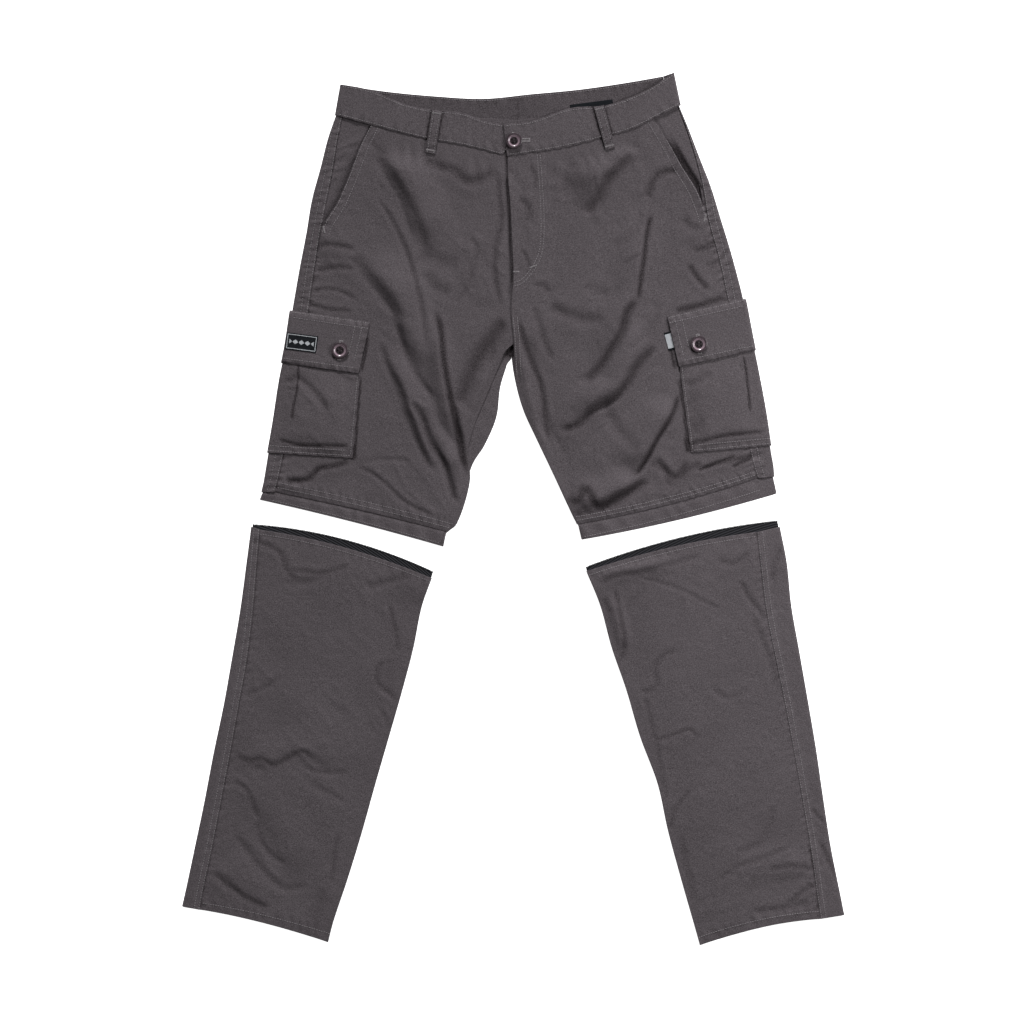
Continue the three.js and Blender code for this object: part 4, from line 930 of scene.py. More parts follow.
def rolled_edges(outer, inner, open_edges):
    """Rounds a wall off at its cut or folded edges: first row, last row, first column, last column."""
    down, across = run_along(outer, 0), run_along(outer, 1)
    aways = (down, down[-1:] - down, across, across[:, -1:] - across)
    away = np.full(outer.shape[:2], np.inf)
    for is_open, from_edge in zip(open_edges, aways):
        if is_open:
            away = np.minimum(away, from_edge)
    thickness = np.linalg.norm(inner - outer, axis=-1)
    radius = thickness / 2
    short = np.maximum(radius - away, 0)
    roll = 0.92 * (radius - np.sqrt(radius ** 2 - short ** 2))
    shift = (inner - outer) * (roll / thickness)[..., None]
    return outer + shift, inner - shift


def wall_faces(rows, columns, looped):
    """Quads of a closed wall between two grids that have the same rows and columns."""
    index = np.arange(2 * rows * columns).reshape(2, rows, columns)
    if looped:
        index = np.concatenate([index, index[:, :, :1]], axis=2)
    quads = lambda a, b, c, d: np.stack([a, b, c, d], axis=-1).reshape(-1, 4)
    faces = [
        quads(index[0, :-1, :-1], index[0, 1:, :-1], index[0, 1:, 1:], index[0, :-1, 1:]),
        quads(index[1, :-1, :-1], index[1, :-1, 1:], index[1, 1:, 1:], index[1, 1:, :-1]),
        quads(index[0, 0, :-1], index[0, 0, 1:], index[1, 0, 1:], index[1, 0, :-1]),
        quads(index[0, -1, :-1], index[1, -1, :-1], index[1, -1, 1:], index[0, -1, 1:]),
    ]
    if not looped:
        faces.append(quads(index[0, :-1, 0], index[1, :-1, 0], index[1, 1:, 0], index[0, 1:, 0]))
        faces.append(quads(index[0, :-1, -1], index[0, 1:, -1], index[1, 1:, -1], index[1, :-1, -1]))
    return np.concatenate(faces)


def outward(points, faces):
    """The faces, turned round if they point into the body."""
    a, b, c, d = (points[faces[:, k]] for k in range(4))
    volume = (a * (np.cross(b, c) + np.cross(c, d))).sum()
    return faces if volume > 0 else faces[:, ::-1]


def add_object(name, data):
    """A new object in the scene."""
    made = bpy.data.objects.new(name, data)
    bpy.context.scene.collection.objects.link(made)
    return made


def add_mesh(name, points, faces, uv, wear):
    """A smooth mesh object from points in millimetres, with a cloth map and, at each point, a tone that
    also carries painted shade.
    """
    mesh = bpy.data.meshes.new(name)
    mesh.from_pydata((points * MM).tolist(), [], faces.tolist())
    mesh.polygons.foreach_set("use_smooth", np.ones(len(mesh.polygons), bool))
    corners = np.empty(len(mesh.loops), int)
    mesh.loops.foreach_get("vertex_index", corners)
    mesh.uv_layers.new(name="cloth").data.foreach_set("uv", (uv * MM)[corners].ravel())
    mesh.attributes.new("wear", "FLOAT", "POINT").data.foreach_set("value", wear.ravel())
    mesh.validate()
    mesh.update()
    return add_object(name, mesh)


def cut_size(outer, looped):
    """Flat width, length and area of a cloth piece, measured along the cloth, in metres."""
    if looped:
        outer = np.concatenate([outer, outer[:, :1]], axis=1)
    across, down = np.diff(outer, axis=1), np.diff(outer, axis=0)
    width = np.linalg.norm(across, axis=-1).sum(1).max()
    length = np.linalg.norm(down, axis=-1).sum(0).max()
    area = np.linalg.norm(np.cross(across[:-1], down[:, :-1]), axis=-1).sum()
    return width * MM, length * MM, min(area, width * length) * MM * MM


def cloth_piece(name, outer, inner, node, finish, open_edges=(True,) * 4, looped=False,
                worn=0.0):
    outer, inner = rolled_edges(outer, inner, open_edges)
    rows, columns = outer.shape[:2]
    points = np.concatenate([outer.reshape(-1, 3), inner.reshape(-1, 3)])
    faces = outward(points, wall_faces(rows, columns, looped))
    down, across = run_along(outer, 0), run_along(outer, 1)
    uv = np.stack([across + outer[:, :1, 0], outer[:1, :, 1] - down], axis=-1).reshape(-1, 2)
    # Tone at each point: puckers rubbed paler and a label's design, with painted shade in valleys, gaps and
    # beside pockets and loops
    wear = np.clip(EVEN_WEAR + worn + np.zeros((rows, columns)), 0, 1)
    piece = add_mesh(name, points, faces, np.tile(uv, (2, 1)), np.tile(wear.ravel(), 2))
    piece.data.materials.append(finish)
    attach(piece, BODY)
    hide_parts(node)
    width, length, area = cut_size(outer, looped)
    return piece


def flat_wall(xy, under, thickness=CLOTH):
    """Outer and inner grids of a piece that lies over what is under it."""
    return grid_points(xy, under + thickness), grid_points(xy, under)


def pressed(outer, away, by):
    """Thins a wall toward a stitched edge that is this far away."""
    outer[..., 2] -= by * np.exp(-(away / 2.4) ** 2)


def wrapped_wall(start, edge, end, top_at, bottom_at, top_shares, bottom_shares, bow=None, fold_steps=10):
    """Grids of a piece that runs over the top layer to a fold at the side and back along the floor side.
    start, edge and end are lines down the piece. top_at and bottom_at give its outermost heights."""
    at_fold = edge[:, None]
    top, bottom = top_at(at_fold), bottom_at(at_fold)
    radius, middle = (top - bottom) / 2, (top + bottom) / 2
    turns = [toward(at_fold, p[:, None], radius) for p in (start, end)]
    over = lerp(start[:, None], turns[0], top_shares[None, :-1, None])
    under = lerp(turns[1], end[:, None], bottom_shares[None, :, None])
    if bow is not None:
        under[..., 1] += bow[:, None] * bulge(bottom_shares)
    angle = np.linspace(np.pi / 2, -np.pi / 2, fold_steps + 1)[None]
    centre = np.where((angle > 0)[..., None], turns[0], turns[1])
    sides = []
    for inset in (0, CLOTH):
        r = radius - inset
        ring = grid_points(toward(centre, at_fold, r * np.cos(angle) + 1e-6), middle + r * np.sin(angle))
        top_grid = grid_points(over, top_at(over) - inset)
        bottom_grid = grid_points(under, bottom_at(under) + inset)
        sides.append(np.concatenate([top_grid, ring, bottom_grid], axis=1))
    return sides


Ring = namedtuple("Ring", "side inner bow top bottom reach")


def tube_wall(rings, thickness, steps=110, fold_steps=8):
    """Grids of a flattened tube: over the top layer, round both folds and back. A ring gives its two ends,
    bow, top and bottom heights, and how far it stands out of the leg."""
    grids = ([], [])
    angle = np.linspace(np.pi / 2, -np.pi / 2, fold_steps + 1)
    at_side = np.ones_like(angle)
    for ring in rings:
        side, inner = np.asarray(ring.side, float), np.asarray(ring.inner, float)
        radius, middle = (ring.top - ring.bottom) / 2, (ring.top + ring.bottom) / 2
        length = distance(side, inner)
        out = (side - inner) / length
        up = np.array([out[1], -out[0]]) * np.sign(inner[0] - side[0])
        reach = ring.reach
        arch = reach.middle - (reach.side + reach.inseam) / 2

        def across(t, z):
            raised = lerp(reach.inseam, reach.side, t) + bulge(t) * arch
            xy = lerp(inner, side, t[:, None]) + up * raised[:, None]
            xy[:, 1] += bulge(t) * ring.bow
            return np.column_stack([xy, np.broadcast_to(z, len(t))])

        inside = np.linspace(radius / length, 1 - radius / length, steps)[1:-1]
        for grid, r in zip(grids, (radius, radius - thickness)):
            turn = (r * np.cos(angle) - radius)[:, None] * [*out, 0]
            grid.append(np.concatenate([
                across(inside, middle + r),
                across(at_side, middle + r * np.sin(angle)) + turn,
                across(inside[::-1], middle - r),
                across(0 * at_side, middle - r * np.sin(angle)) - turn,
            ]))
    return [np.array(grid) for grid in grids]


# Finishes
class Field:
    """A shader socket in sums: adding, subtracting or multiplying makes the Math node."""
    def __init__(self, finish, socket):
        self.finish, self.socket = finish, socket

    def combine(self, operation, *values):
        return self.finish.node("ShaderNodeMath", {"operation": operation}, *values)

    def __add__(self, other):
        return self.combine("ADD", self, other)

    def __sub__(self, other):
        return self.combine("SUBTRACT", self, other)

    def __rsub__(self, other):
        return self.combine("SUBTRACT", other, self)

    def __mul__(self, other):
        return self.combine("MULTIPLY", self, other)

    __radd__ = __add__
    __rmul__ = __mul__


class Finish:
    """A material, whose nodes all come from one method."""
    def __init__(self, name, roughness, **constants):
        self.material = bpy.data.materials.new(name)
        self.material.use_nodes = True
        self.tree = self.material.node_tree
        self.shader = self.tree.nodes["Principled BSDF"]
        self.shader.inputs["Roughness"].default_value = roughness
        for socket, value in constants.items():
            self.shader.inputs[socket.replace("_", " ")].default_value = value

    def plug(self, socket, value):
        if isinstance(value, Field):
            self.tree.links.new(value.socket, socket)
        else:
            socket.default_value = value

    def node(self, kind, settings, *values, output=0, **named):
        """Adds a node: its settings first, then its inputs in order or by name, and returns one output."""
        made = self.tree.nodes.new(kind)
        for setting, value in settings.items():
            setattr(made, setting, value)
        for socket, value in zip(made.inputs, values):
            self.plug(socket, value)
        for name, value in named.items():
            self.plug(made.inputs[name.replace("_", " ")], value)
        return Field(self, made.outputs[output])

    def shade(self, **named):
        for name, value in named.items():
            self.plug(self.shader.inputs[name.replace("_", " ")], value)

    def mixed(self, share, a, b):
        """One colour fading into another."""
        made = self.tree.nodes.new("ShaderNodeMix")
        made.data_type = "RGBA"
        self.plug(made.inputs["Factor"], share)
        for name, value in (("A", a), ("B", b)):
            socket = next(s for s in made.inputs if s.name == name and s.type == "RGBA")
            self.plug(socket, value if isinstance(value, Field) else (*value, 1))
        return Field(self, next(s for s in made.outputs if s.type == "RGBA"))

    def place(self):
        """A point's place in the coordinates of its object."""
        return self.node("ShaderNodeTexCoord", {}, output="Object")

    def cloth_map(self):
        return self.node("ShaderNodeUVMap", {"uv_map": "cloth"})

    def attribute(self, name):
        return self.node("ShaderNodeAttribute", {"attribute_name": name}, output="Fac")

    def ramp(self, value, low, high):
        """Stretches a value so that low gives 0 and high gives 1."""
        return self.node("ShaderNodeMapRange", {"clamp": True}, value, low, high, 0.0, 1.0)

    def noise(self, where, scale, detail=2.0):
        return self.node("ShaderNodeTexNoise", {}, Vector=where, Scale=scale, Detail=detail)

    def stretched(self, where, x, y, z=1.0):
        return self.node("ShaderNodeMapping", {}, Vector=where, Scale=(x, y, z))

    def waves(self, where, scale, turn=0.0, bands="X"):
        """Even ridges, 0 to 1, so many to a metre."""
        turned = self.node("ShaderNodeMapping", {}, Vector=where, Rotation=(0, 0, turn))
        settings = {"wave_type": "BANDS", "bands_direction": bands, "wave_profile": "SIN"}
        return self.node("ShaderNodeTexWave", settings, Vector=turned, Scale=scale * math.pi / 10)

    def bump(self, height, depth, strength=1.0, **named):
        """A bump of the given depth in millimetres."""
        return self.node("ShaderNodeBump", {}, Strength=strength, Distance=depth * MM, Height=height,
                         **named)


def times(share, colour):
    """A colour made darker or lighter."""
    return [share * part for part in colour]


def cached(make):
    """Makes a finish the first time that a piece asks for it."""
    def ask():
        name = f"{make.__name__}_finish"
        found = bpy.data.materials.get(name)
        return found if found else make(name)
    return ask


@cached
def twill(name):
    """Washed cotton twill: diagonal wales, uneven yarn, paler where rubbed, with painted shade in valleys,
    shut folds, gaps and beside pockets and loops.
    """
    finish = Finish(name, 0.9, Specular_IOR_Level=0.08)
    cloth, place, wear = finish.cloth_map(), finish.place(), finish.attribute("wear")
    wales = finish.waves(cloth, 900, turn=math.radians(58))
    weft = finish.noise(finish.stretched(cloth, 0.5, 1.0), 950)
    warp = finish.noise(finish.stretched(cloth, 1.0, 0.5), 950)
    grain = finish.noise(place, 1000, 1)
    mottle = finish.noise(place, 170, 2)
    cloud = finish.noise(place, 11, 3)
    crinkle = finish.noise(place, 120, 4)
    yarn = 0.9 * (weft + warp) + 1.2 * grain - 1.5
    tone = yarn + 0.1 * (mottle - 0.5) + 0.2 * (cloud - 0.5) + 0.1 * (wales - 0.5)
    # Paler where the point's value rises on rubbed puckers; deeper, toward painted shade, where it falls in
    # valleys, gaps and shadows, and with the darker yarn
    paler = finish.ramp(wear + 0.8 * tone, 0.5, 1.1)
    deeper = finish.ramp(wear + 0.8 * tone, 0.5, -0.1)
    colour = finish.mixed(paler, colours().twill, colours().worn)
    colour = finish.mixed(deeper, colour, colours().shade)
    weave = finish.bump(0.35 * wales + 0.5 * (weft + warp), 0.35)
    normal = finish.bump(crinkle, 1.4, strength=0.55, Normal=weave)
    rough = finish.ramp(cloud, 0.0, 1.0) * 0.1 + 0.84
    finish.shade(Base_Color=colour, Roughness=rough, Normal=normal)
    return finish.material


@cached
def zip_tape(name):
    """Black woven tape, ribbed along the zip."""
    finish = Finish(name, 0.8, Specular_IOR_Level=0.12)
    cloth = finish.cloth_map()
    ribs = finish.waves(cloth, 330, bands="Y")
    yarn = finish.noise(cloth, 1500)
    share = finish.ramp(ribs * 0.8 + yarn * 0.4, 0.3, 1.1)
    colour = finish.mixed(share, colours().tape, times(6, colours().tape))
    finish.shade(Base_Color=colour, Normal=finish.bump(ribs + 0.3 * yarn, 0.5))
    return finish.material


@cached
def sewing_thread(name):
    """Spun polyester thread, a little paler than the cloth."""
    finish = Finish(name, 0.6, Specular_IOR_Level=0.2)
    place = finish.place()
    fibre = finish.noise(place, 900)
    drift = finish.noise(place, 25)
    share = finish.ramp(fibre * 0.6 + drift * 0.6, 0.35, 0.85)
    finish.shade(Base_Color=finish.mixed(share, times(0.62, colours().thread), colours().thread))
    return finish.material


@cached
def button_thread(name):
    """Darker thread that holds the buttons."""
    finish = Finish(name, 0.7, Specular_IOR_Level=0.2)
    share = finish.noise(finish.place(), 900)
    finish.shade(Base_Color=finish.mixed(share, colours().shade, colours().twill))
    return finish.material


@cached
def zip_coil(name):
    """Black nylon of the zip's coil."""
    finish = Finish(name, 0.32)
    speck = finish.noise(finish.place(), 400)
    colour = finish.mixed(speck, colours().tape, times(4, colours().tape))
    finish.shade(Base_Color=colour, Roughness=finish.ramp(speck, 0.2, 0.8) * 0.2 + 0.25)
    return finish.material


@cached
def woven_label(name):
    """Black satin, with light threads where a label's design has them."""
    finish = Finish(name, 0.6, Specular_IOR_Level=0.15)
    cloth, light = finish.cloth_map(), finish.attribute("wear")
    yarn = finish.waves(cloth, 2600, bands="Y")
    fleck = finish.noise(cloth, 2200)
    share = finish.ramp(light + 0.3 * (fleck - 0.5), 0.45, 0.6)
    colour = finish.mixed(share, colours().label, colours().label_line)
    finish.shade(Base_Color=colour, Normal=finish.bump(yarn + fleck + light, 0.2))
    return finish.material


@cached
def button_resin(name):
    """Glossy resin with a soft swirl, a painted highlight as a pale ring round the dish, and a dark middle.
    """
    finish = Finish(name, 0.22, Coat_Weight=0.3)
    place, ring = finish.place(), finish.attribute("ring")
    resin = colours().button
    warped = finish.noise(place, 90, 4)
    swirl = finish.noise(finish.stretched(place, 1.0, 2.2), 210, 3)
    share = finish.ramp(0.6 * warped + 0.4 * swirl, 0.35, 0.75)
    colour = finish.mixed(share, times(0.7, resin), times(1.3, resin))
    # Painted highlight: the dish wall's ring is painted paler all round, where light would catch the slope
    colour = finish.mixed(finish.ramp(ring, 0.2, 0.9), colour, times(4.5, resin))
    colour = finish.mixed(finish.ramp(ring, -0.2, -0.9), colour, times(0.45, resin))
    finish.shade(Base_Color=colour, Roughness=finish.ramp(swirl, 0.3, 0.8) * 0.14 + 0.18)
    return finish.material


@cached
def pale_floor(name):
    """Even white floor."""
    finish = Finish(name, 1.0)
    cloud = finish.noise(finish.place(), 2)
    colour = finish.mixed(cloud, times(0.99, colours().floor), colours().floor)
    finish.shade(Base_Color=colour, Emission_Color=colour, Emission_Strength=1.0)
    return finish.material


# Pieces of the shorts
def halves():
    return [
        Half("right", SHORTS_RIGHT, CARGO_RIGHT, FLAP_RIGHT),
        Half("left", SHORTS_LEFT, CARGO_LEFT, FLAP_LEFT),
    ]


def make_front(half):
    step = sizes().grid
    rows = even_rows(half.read, "front", 0, HEM_ROW, step)[:, None]
    section = half.read(rows[:, 0])
    width = distance(section.seam, section.front)[:, None]
    underlap = FLY_UNDERLAP * smooth((CROTCH_ROW + 0.25 - rows) / 0.6) * (half.name == "right")
    start = np.maximum(section.slash, 0)[:, None] / width
    end = 1 + (underlap - GAP / 2) / width
    u = lerp(start, end, close_steps(width.mean(), step)[None])
    xy = lerp(section.seam[:, None], section.front[:, None], u[..., None])
    xy[..., 1] += bulge(u) * section.bow[:, None]
    x, y = plan(xy)
    under = front_under(half, np.broadcast_to(rows, u.shape), np.minimum(u, 1), x, y)
    # Puckers are rubbed paler; the valleys, the fly's gap and the sides of the pockets and flaps get
    # painted shade
    worn = WEAR_SHOWN * puckers(half.relief_seams, x, y) - sunk(SHORTS_VALLEYS, x, y)[1]
    outer, inner = flat_wall(xy, under)
    return cloth_piece(f"cloth_front_{half.name}", outer, inner, f"front_{half.name}",
                       twill(), worn=worn)


def back_end(half, rows):
    """The inner end of a back. Above the crotch the right one reaches the left one, so no floor shows."""
    own = half.read(rows).back
    if half.name == "left":
        return own
    joined = smooth((CROTCH_ROW + 0.25 - rows) / 0.25)
    return lerp(own, reader(SHORTS_LEFT)(rows).back, joined[:, None])


def side_strip(section, seam_top, points):
    """A back's height on the front, from the side fold to where it tucks under the seam, and a share that
    grows from 0 at the fold to 1 beside it."""
    strip = distance(section.edge, section.seam)[:, None]
    from_edge = distance(section.edge[:, None], points) / strip
    level = lerp(FRONT_TOP, seam_top[:, None], smooth(from_edge))
    tucked_under = (CLOTH + SLACK) * smooth((from_edge * strip - strip + 1.2) / 1.6)
    return level - tucked_under, smooth(from_edge * strip / 4)


def lifted_off_floor(section, points):
    """How far a back's crumpled underside stands off what it lies on."""
    lifted = np.maximum(0.8 * crumple(*plan(points)), 0)
    return lifted * smooth(distance(section.edge[:, None], points) / 12)


def make_back(half):
    step = sizes().grid
    rows = even_rows(half.read, "seam", 0, HEM_ROW, 1.4 * step)
    section = half.read(rows)
    start = toward(section.seam, section.front, SEAM_TUCK)
    seam_base, _ = front_base(half, rows, np.zeros_like(rows), *section.seam.T)
    seam_top = seam_base - lap_raise(half, *section.seam.T) + CLOTH

    def top_at(points):
        x, y = plan(points)
        level, off_fold = side_strip(section, seam_top, points)
        bare = smooth(outside_of(half.cargo_front, x, y) / POCKET_FADE)
        folds = sunk(SHORTS_VALLEYS, x, y)[0] + 0.5 * crumple(x, y)
        return level + bare * off_fold * (puckers(half.relief_seams, x, y) + folds)

    def bottom_at(points):
        return back_under(half, rows[:, None], *plan(points)) + lifted_off_floor(section, points)

    end = toward(back_end(half, rows), section.edge, -SEAM_SHUT)
    bow = section.bow * smooth((rows - 10.5) / 0.5)
    outer, inner = wrapped_wall(start, section.edge, end, top_at, bottom_at, np.linspace(0, 1, SIDE_STEPS),
                                close_steps(BACK_WIDTH, 1.7 * step, first=False), bow=bow)
    worn = WEAR_SHOWN * puckers(half.relief_seams, *plan(outer))
    # Painted shade in the gap at the crotch, where the layers leave a deep hole
    worn -= 1.4 * np.exp(-(distance(outer[..., :2], CROTCH_HOLE) / 9) ** 4)
    return cloth_piece(f"cloth_back_{half.name}", outer, inner, f"back_{half.name}", twill(), worn=worn)


def make_facing(half):
    step = 0.6 * sizes().grid
    rows = even_rows(half.read, "seam", 0, SLASH_ROW, step)
    section = half.read(rows)
    width = distance(section.seam, section.front)[:, None]
    mouth = np.maximum(section.slash, 0)[:, None]
    u = lerp(GAP / 2 / width, (mouth + FACING_UNDERLAP) / width, close_steps(FACING_WIDTH, step)[None])
    xy = lerp(section.seam[:, None], section.front[:, None], u[..., None])
    x, y = plan(xy)
    from_mouth, _, along = nearest_on(half.slash, x, y)
    inside = u * width < mouth
    bare = smooth(from_mouth / 6) * inside
    relief = crest_height(FACING_CREASES, x, y, from_flank=True) + 0.6 * crumple(x, y)
    gape = MOUTH_RISE[half.name] / MOUTH_RISE["left"]
    window = smooth((along - 0.2) / 0.3) * smooth((1 - along) / 0.15)
    hollow = gape * 3.3 * np.exp(-(from_mouth / 7) ** 4) * window
    under = FRONT_LIFT - SLACK + bare * relief - hollow - 0.8 * (1 - inside)
    outer, inner = flat_wall(xy, np.minimum(under, FRONT_LIFT + 1.5 * bare))
    # Painted shade inside the pocket mouth where it gapes
    worn = -0.9 * gape ** 2 * window * np.exp(-(from_mouth / 8) ** 4)
    return cloth_piece(f"cloth_facing_{half.name}", outer, inner, f"pocket_facing_{half.name}",
                       twill(), worn=worn)


def beside_loop(half, x, y):
    """1 in the painted shadow along both sides of the front belt loop, and 0 away from it."""
    ends = FRONT_LOOPS[half.name]
    away = nearest_on(np.array([ends.top, ends.bottom], float), x, y)[0]
    return np.exp(-((away - LOOP_WIDTH / 2 - 0.6) / 1.6) ** 2)


def make_waistband(half, stations, back_end):
    """A front of the waistband, run round the side fold to the back piece's end."""
    read = reader(stations)
    step = sizes().grid
    line = read(even_rows(read, "lower", 0, len(stations) - 1, step))
    heights = close_steps(BAND_HEIGHT, step)
    seams = [Seam(line.lower, 0.35, 9, 13, 0.1, 51), Seam(line.upper, 0.3, 8, 11, 0.1, 52)]
    run = run_of(lerp(line.lower, line.upper, 0.5))
    keep = run < run[-1] - BAND_FOLD_RUN
    across = lerp(line.lower[keep][None], line.upper[keep][None], heights[:, None, None])
    edge = lerp(line.lower[-1], line.upper[-1], heights[:, None])
    back = lerp(np.array(back_end.lower, float), np.array(back_end.upper, float), heights[:, None])
    end = toward(back, edge, GAP)

    def top_at(points):
        x, y = plan(points)
        relief = puckers(seams, x, y) + 0.35 * crumple(x, y)
        return band_top(half, x, y) + relief

    def bottom_at(points):
        return np.full(points.shape[:-1], LAYER)

    wraps = wrapped_wall(across[:, -1], edge, end, top_at, bottom_at, np.linspace(0, 1, 10),
                         close_steps(BAND_WRAP, 2 * step))
    run_top = top_at(across[:, :-1])
    outer, inner = (np.concatenate([grid_points(across[:, :-1], run_top - inset), wrap], axis=1)
                    for inset, wrap in zip((0, CLOTH), wraps))
    pressed(outer[:, :keep.sum()], BAND_HEIGHT * heights[:, None], PRESSED)
    x, y = plan(outer)
    # Puckers are rubbed paler; a painted shadow runs along the sides of the belt loop
    worn = WEAR_SHOWN * puckers(seams, x, y) - 0.6 * beside_loop(half, x, y)
    return cloth_piece(f"cloth_waistband_{half.name}", outer, inner, f"waistband_{half.name}",
                       twill(), worn=worn)


def make_back_waistband():
    read = reader(WAISTBAND_BACK)
    step = sizes().grid
    line = read(even_rows(read, "upper", 0, len(WAISTBAND_BACK) - 1, step))
    xy = lerp(line.lower[None], line.upper[None], close_steps(BACK_BAND_HEIGHT, step)[:, None, None])
    x, y = plan(xy)
    seams = [
        Seam(line.upper, 0.35, 8, 12, 0.1, 61),
        Seam(np.array(BAND_CENTRE_SEAM, float), 0.2, 5, 9, 0.35, 62),
    ]
    drawn = puckers(seams, x, y)
    outer, inner = flat_wall(xy, LAYER + np.maximum(drawn + 0.4 * crumple(x, y), 0))
    return cloth_piece("cloth_waistband_back", outer, inner, "waistband_back",
                       twill(), worn=WEAR_SHOWN * drawn - 0.12)


def loop_line(ends):
    """A belt loop's top and bottom, and the direction across it."""
    top, bottom = np.array(ends.top, float), np.array(ends.bottom, float)
    return top, bottom, np.array([bottom[1] - top[1], top[0] - bottom[0]]) / distance(top, bottom)


def loop_strip(name, ends, under_at, node):
    top, bottom, across = loop_line(ends)
    t = close_steps(distance(top, bottom), 1.2)[:, None, None]
    share = close_steps(LOOP_WIDTH, 0.9)[None, :, None] - 0.5
    xy = lerp(top, bottom, t) + across * share * LOOP_WIDTH
    x, y = plan(xy)
    rows = [Seam(resampled([top + across * s, bottom + across * s], SEAM_STEP), 0.16, 3, 5, 0.18, 71 + k)
            for k, s in enumerate(LOOP_STITCHES)]
    drawn = puckers(rows, x, y)
    outer, inner = flat_wall(xy, under_at(x, y, t[..., 0]))
    outer[..., 2] += drawn
    return cloth_piece(name, outer, inner, node, twill(), worn=drawn)


def make_back_loop(name, ends):
    return loop_strip(f"cloth_belt_loop_back_{name}", ends, lambda x, y, t: 0 * x, f"belt_loop_back_{name}")


def make_front_loop(half):
    ends = FRONT_LOOPS[half.name]

    def under_at(x, y, t):
        on_band = band_top(half, x, y) + GAP + 0.4 + 0.9 * smooth(t / 0.3) * smooth((0.75 - t) / 0.3)
        on_front = flat_top(half, x, y) + 3 * GAP
        return lerp(on_band, on_front, smooth((t - 0.78) / 0.14))

    return loop_strip(f"cloth_belt_loop_front_{half.name}", ends, under_at, f"belt_loop_front_{half.name}")


def cargo_wall(half, table_rows, rows, outward_by, top_at, bottom_at):
    """A cargo pocket or flap, wrapped round the side of the leg."""
    step = sizes().grid
    cut = reader(table_rows)(rows)
    leg_edge = np.array([half.edge_at(y) for y in cut.side_y])
    edge = toward(leg_edge, cut.front, -outward_by)
    end = toward(edge, cut.front, POCKET_BACK_WIDTH)
    span = distance(edge, cut.front)[:, None]

    def top(points):
        return top_at(*plan(points), rows[:, None], distance(points, cut.front[:, None]) / span)

    def bottom(points):
        return bottom_at(*plan(points))

    top_shares = close_steps(POCKET_WIDTH, 0.8 * step, last=False)
    bottom_shares = close_steps(POCKET_BACK_WIDTH, 1.6 * step, first=False)
    return wrapped_wall(cut.front, edge, end, top, bottom, top_shares, bottom_shares)


def pocket_lines(half, table_rows, inset):
    """A pocket's front, lower and upper edge, moved inward by inset."""
    cut = reader(table_rows)(np.linspace(0, len(table_rows) - 1, 60))
    leg_edge = np.array([half.edge_at(y) for y in cut.side_y])
    share = np.linspace(0, 1, 50)[:, None]
    front = toward(cut.front, leg_edge, inset)
    lower = lerp(front[-1], leg_edge[-1], share)
    lower[:, 1] += inset
    upper = lerp(cut.front[0], leg_edge[0], share)
    upper[:, 1] -= inset
    return SimpleNamespace(front=front[front[:, 1] > lower[0, 1]], lower=lower, upper=upper)


def pocket_seams(half, table_rows, seed):
    lines = pocket_lines(half, table_rows, 2.0)
    depth = sizes().pucker
    return [Seam(line, 0.55 * depth, 6, 10, 0.16, seed + k)
            for k, line in enumerate((lines.front, lines.lower, lines.upper))]


def make_cargo_pocket(half):
    last = len(half.cargo) - 1
    seams = pocket_seams(half, half.cargo, 81)
    height = distance(half.cargo[0].front, half.cargo[-1].front)
    rows = close_steps(height, sizes().grid) * last

    def top_at(x, y, row, share):
        puff = (POCKET_PUFF * smooth((row - 1) / 0.8) * smooth((last - row) / 0.5) * smooth(share / 0.25)
                * smooth((1 - share) / 0.4))
        held = smooth(share / 0.08) * smooth((1 - share) / 0.15) * smooth((last - row) / 0.12)
        relief = sunk(POCKET_VALLEYS, x, y)[0] + 0.8 * crumple(x, y)
        drawn = puckers(seams, x, y) * smooth((1 - share) / 0.1)
        below_flap = smooth((row - 0.9) / 0.2)
        return FRONT_TOP + LAYER + puff + below_flap * (held * relief + drawn)

    def bottom_at(x, y):
        return LAYER * fading(outside_of(half.flap_back, x, y), FLAP_LAP)

    outer, inner = cargo_wall(half, half.cargo, rows, LAYER + GAP + SLACK, top_at, bottom_at)
    x, y = plan(outer)
    # Puckers are rubbed paler; the pocket's pleats and creases get painted shade
    worn = WEAR_SHOWN * puckers(seams, x, y) - sunk(POCKET_VALLEYS, x, y)[1]
    return cloth_piece(f"cloth_cargo_pocket_{half.name}", outer, inner, f"cargo_pocket_{half.name}",
                       twill(), worn=worn)


def make_cargo_flap(half):
    seams = pocket_seams(half, half.flap, 91)
    height = distance(half.flap[0].front, half.flap[-1].front)
    rows = close_steps(height, 0.8 * sizes().grid)

    def top_at(x, y, row, share):
        over = FRONT_TOP + LAYER + LAYER * smooth(row / FLAP_SEAM)
        lift = 1.2 * smooth((row - 0.6) / 0.4) * smooth((1 - share) / 0.5)
        relief = 0.5 * crumple(x, y) + puckers(seams, x, y)
        return over + lift + smooth((1 - share) / 0.1) * relief

    def bottom_at(x, y):
        return 0 * x

    outer, inner = cargo_wall(half, half.flap, rows, 2 * (LAYER + GAP + SLACK), top_at, bottom_at)
    on_top = outer[..., 2] > FRONT_LIFT
    pressed(outer, np.where(on_top, (1 - rows[:, None]) * height, height), PRESSED)
    worn = WEAR_SHOWN * puckers(seams, *plan(outer))
    return cloth_piece(f"cloth_cargo_flap_{half.name}", outer, inner, f"cargo_flap_{half.name}",
                       twill(), worn=worn)


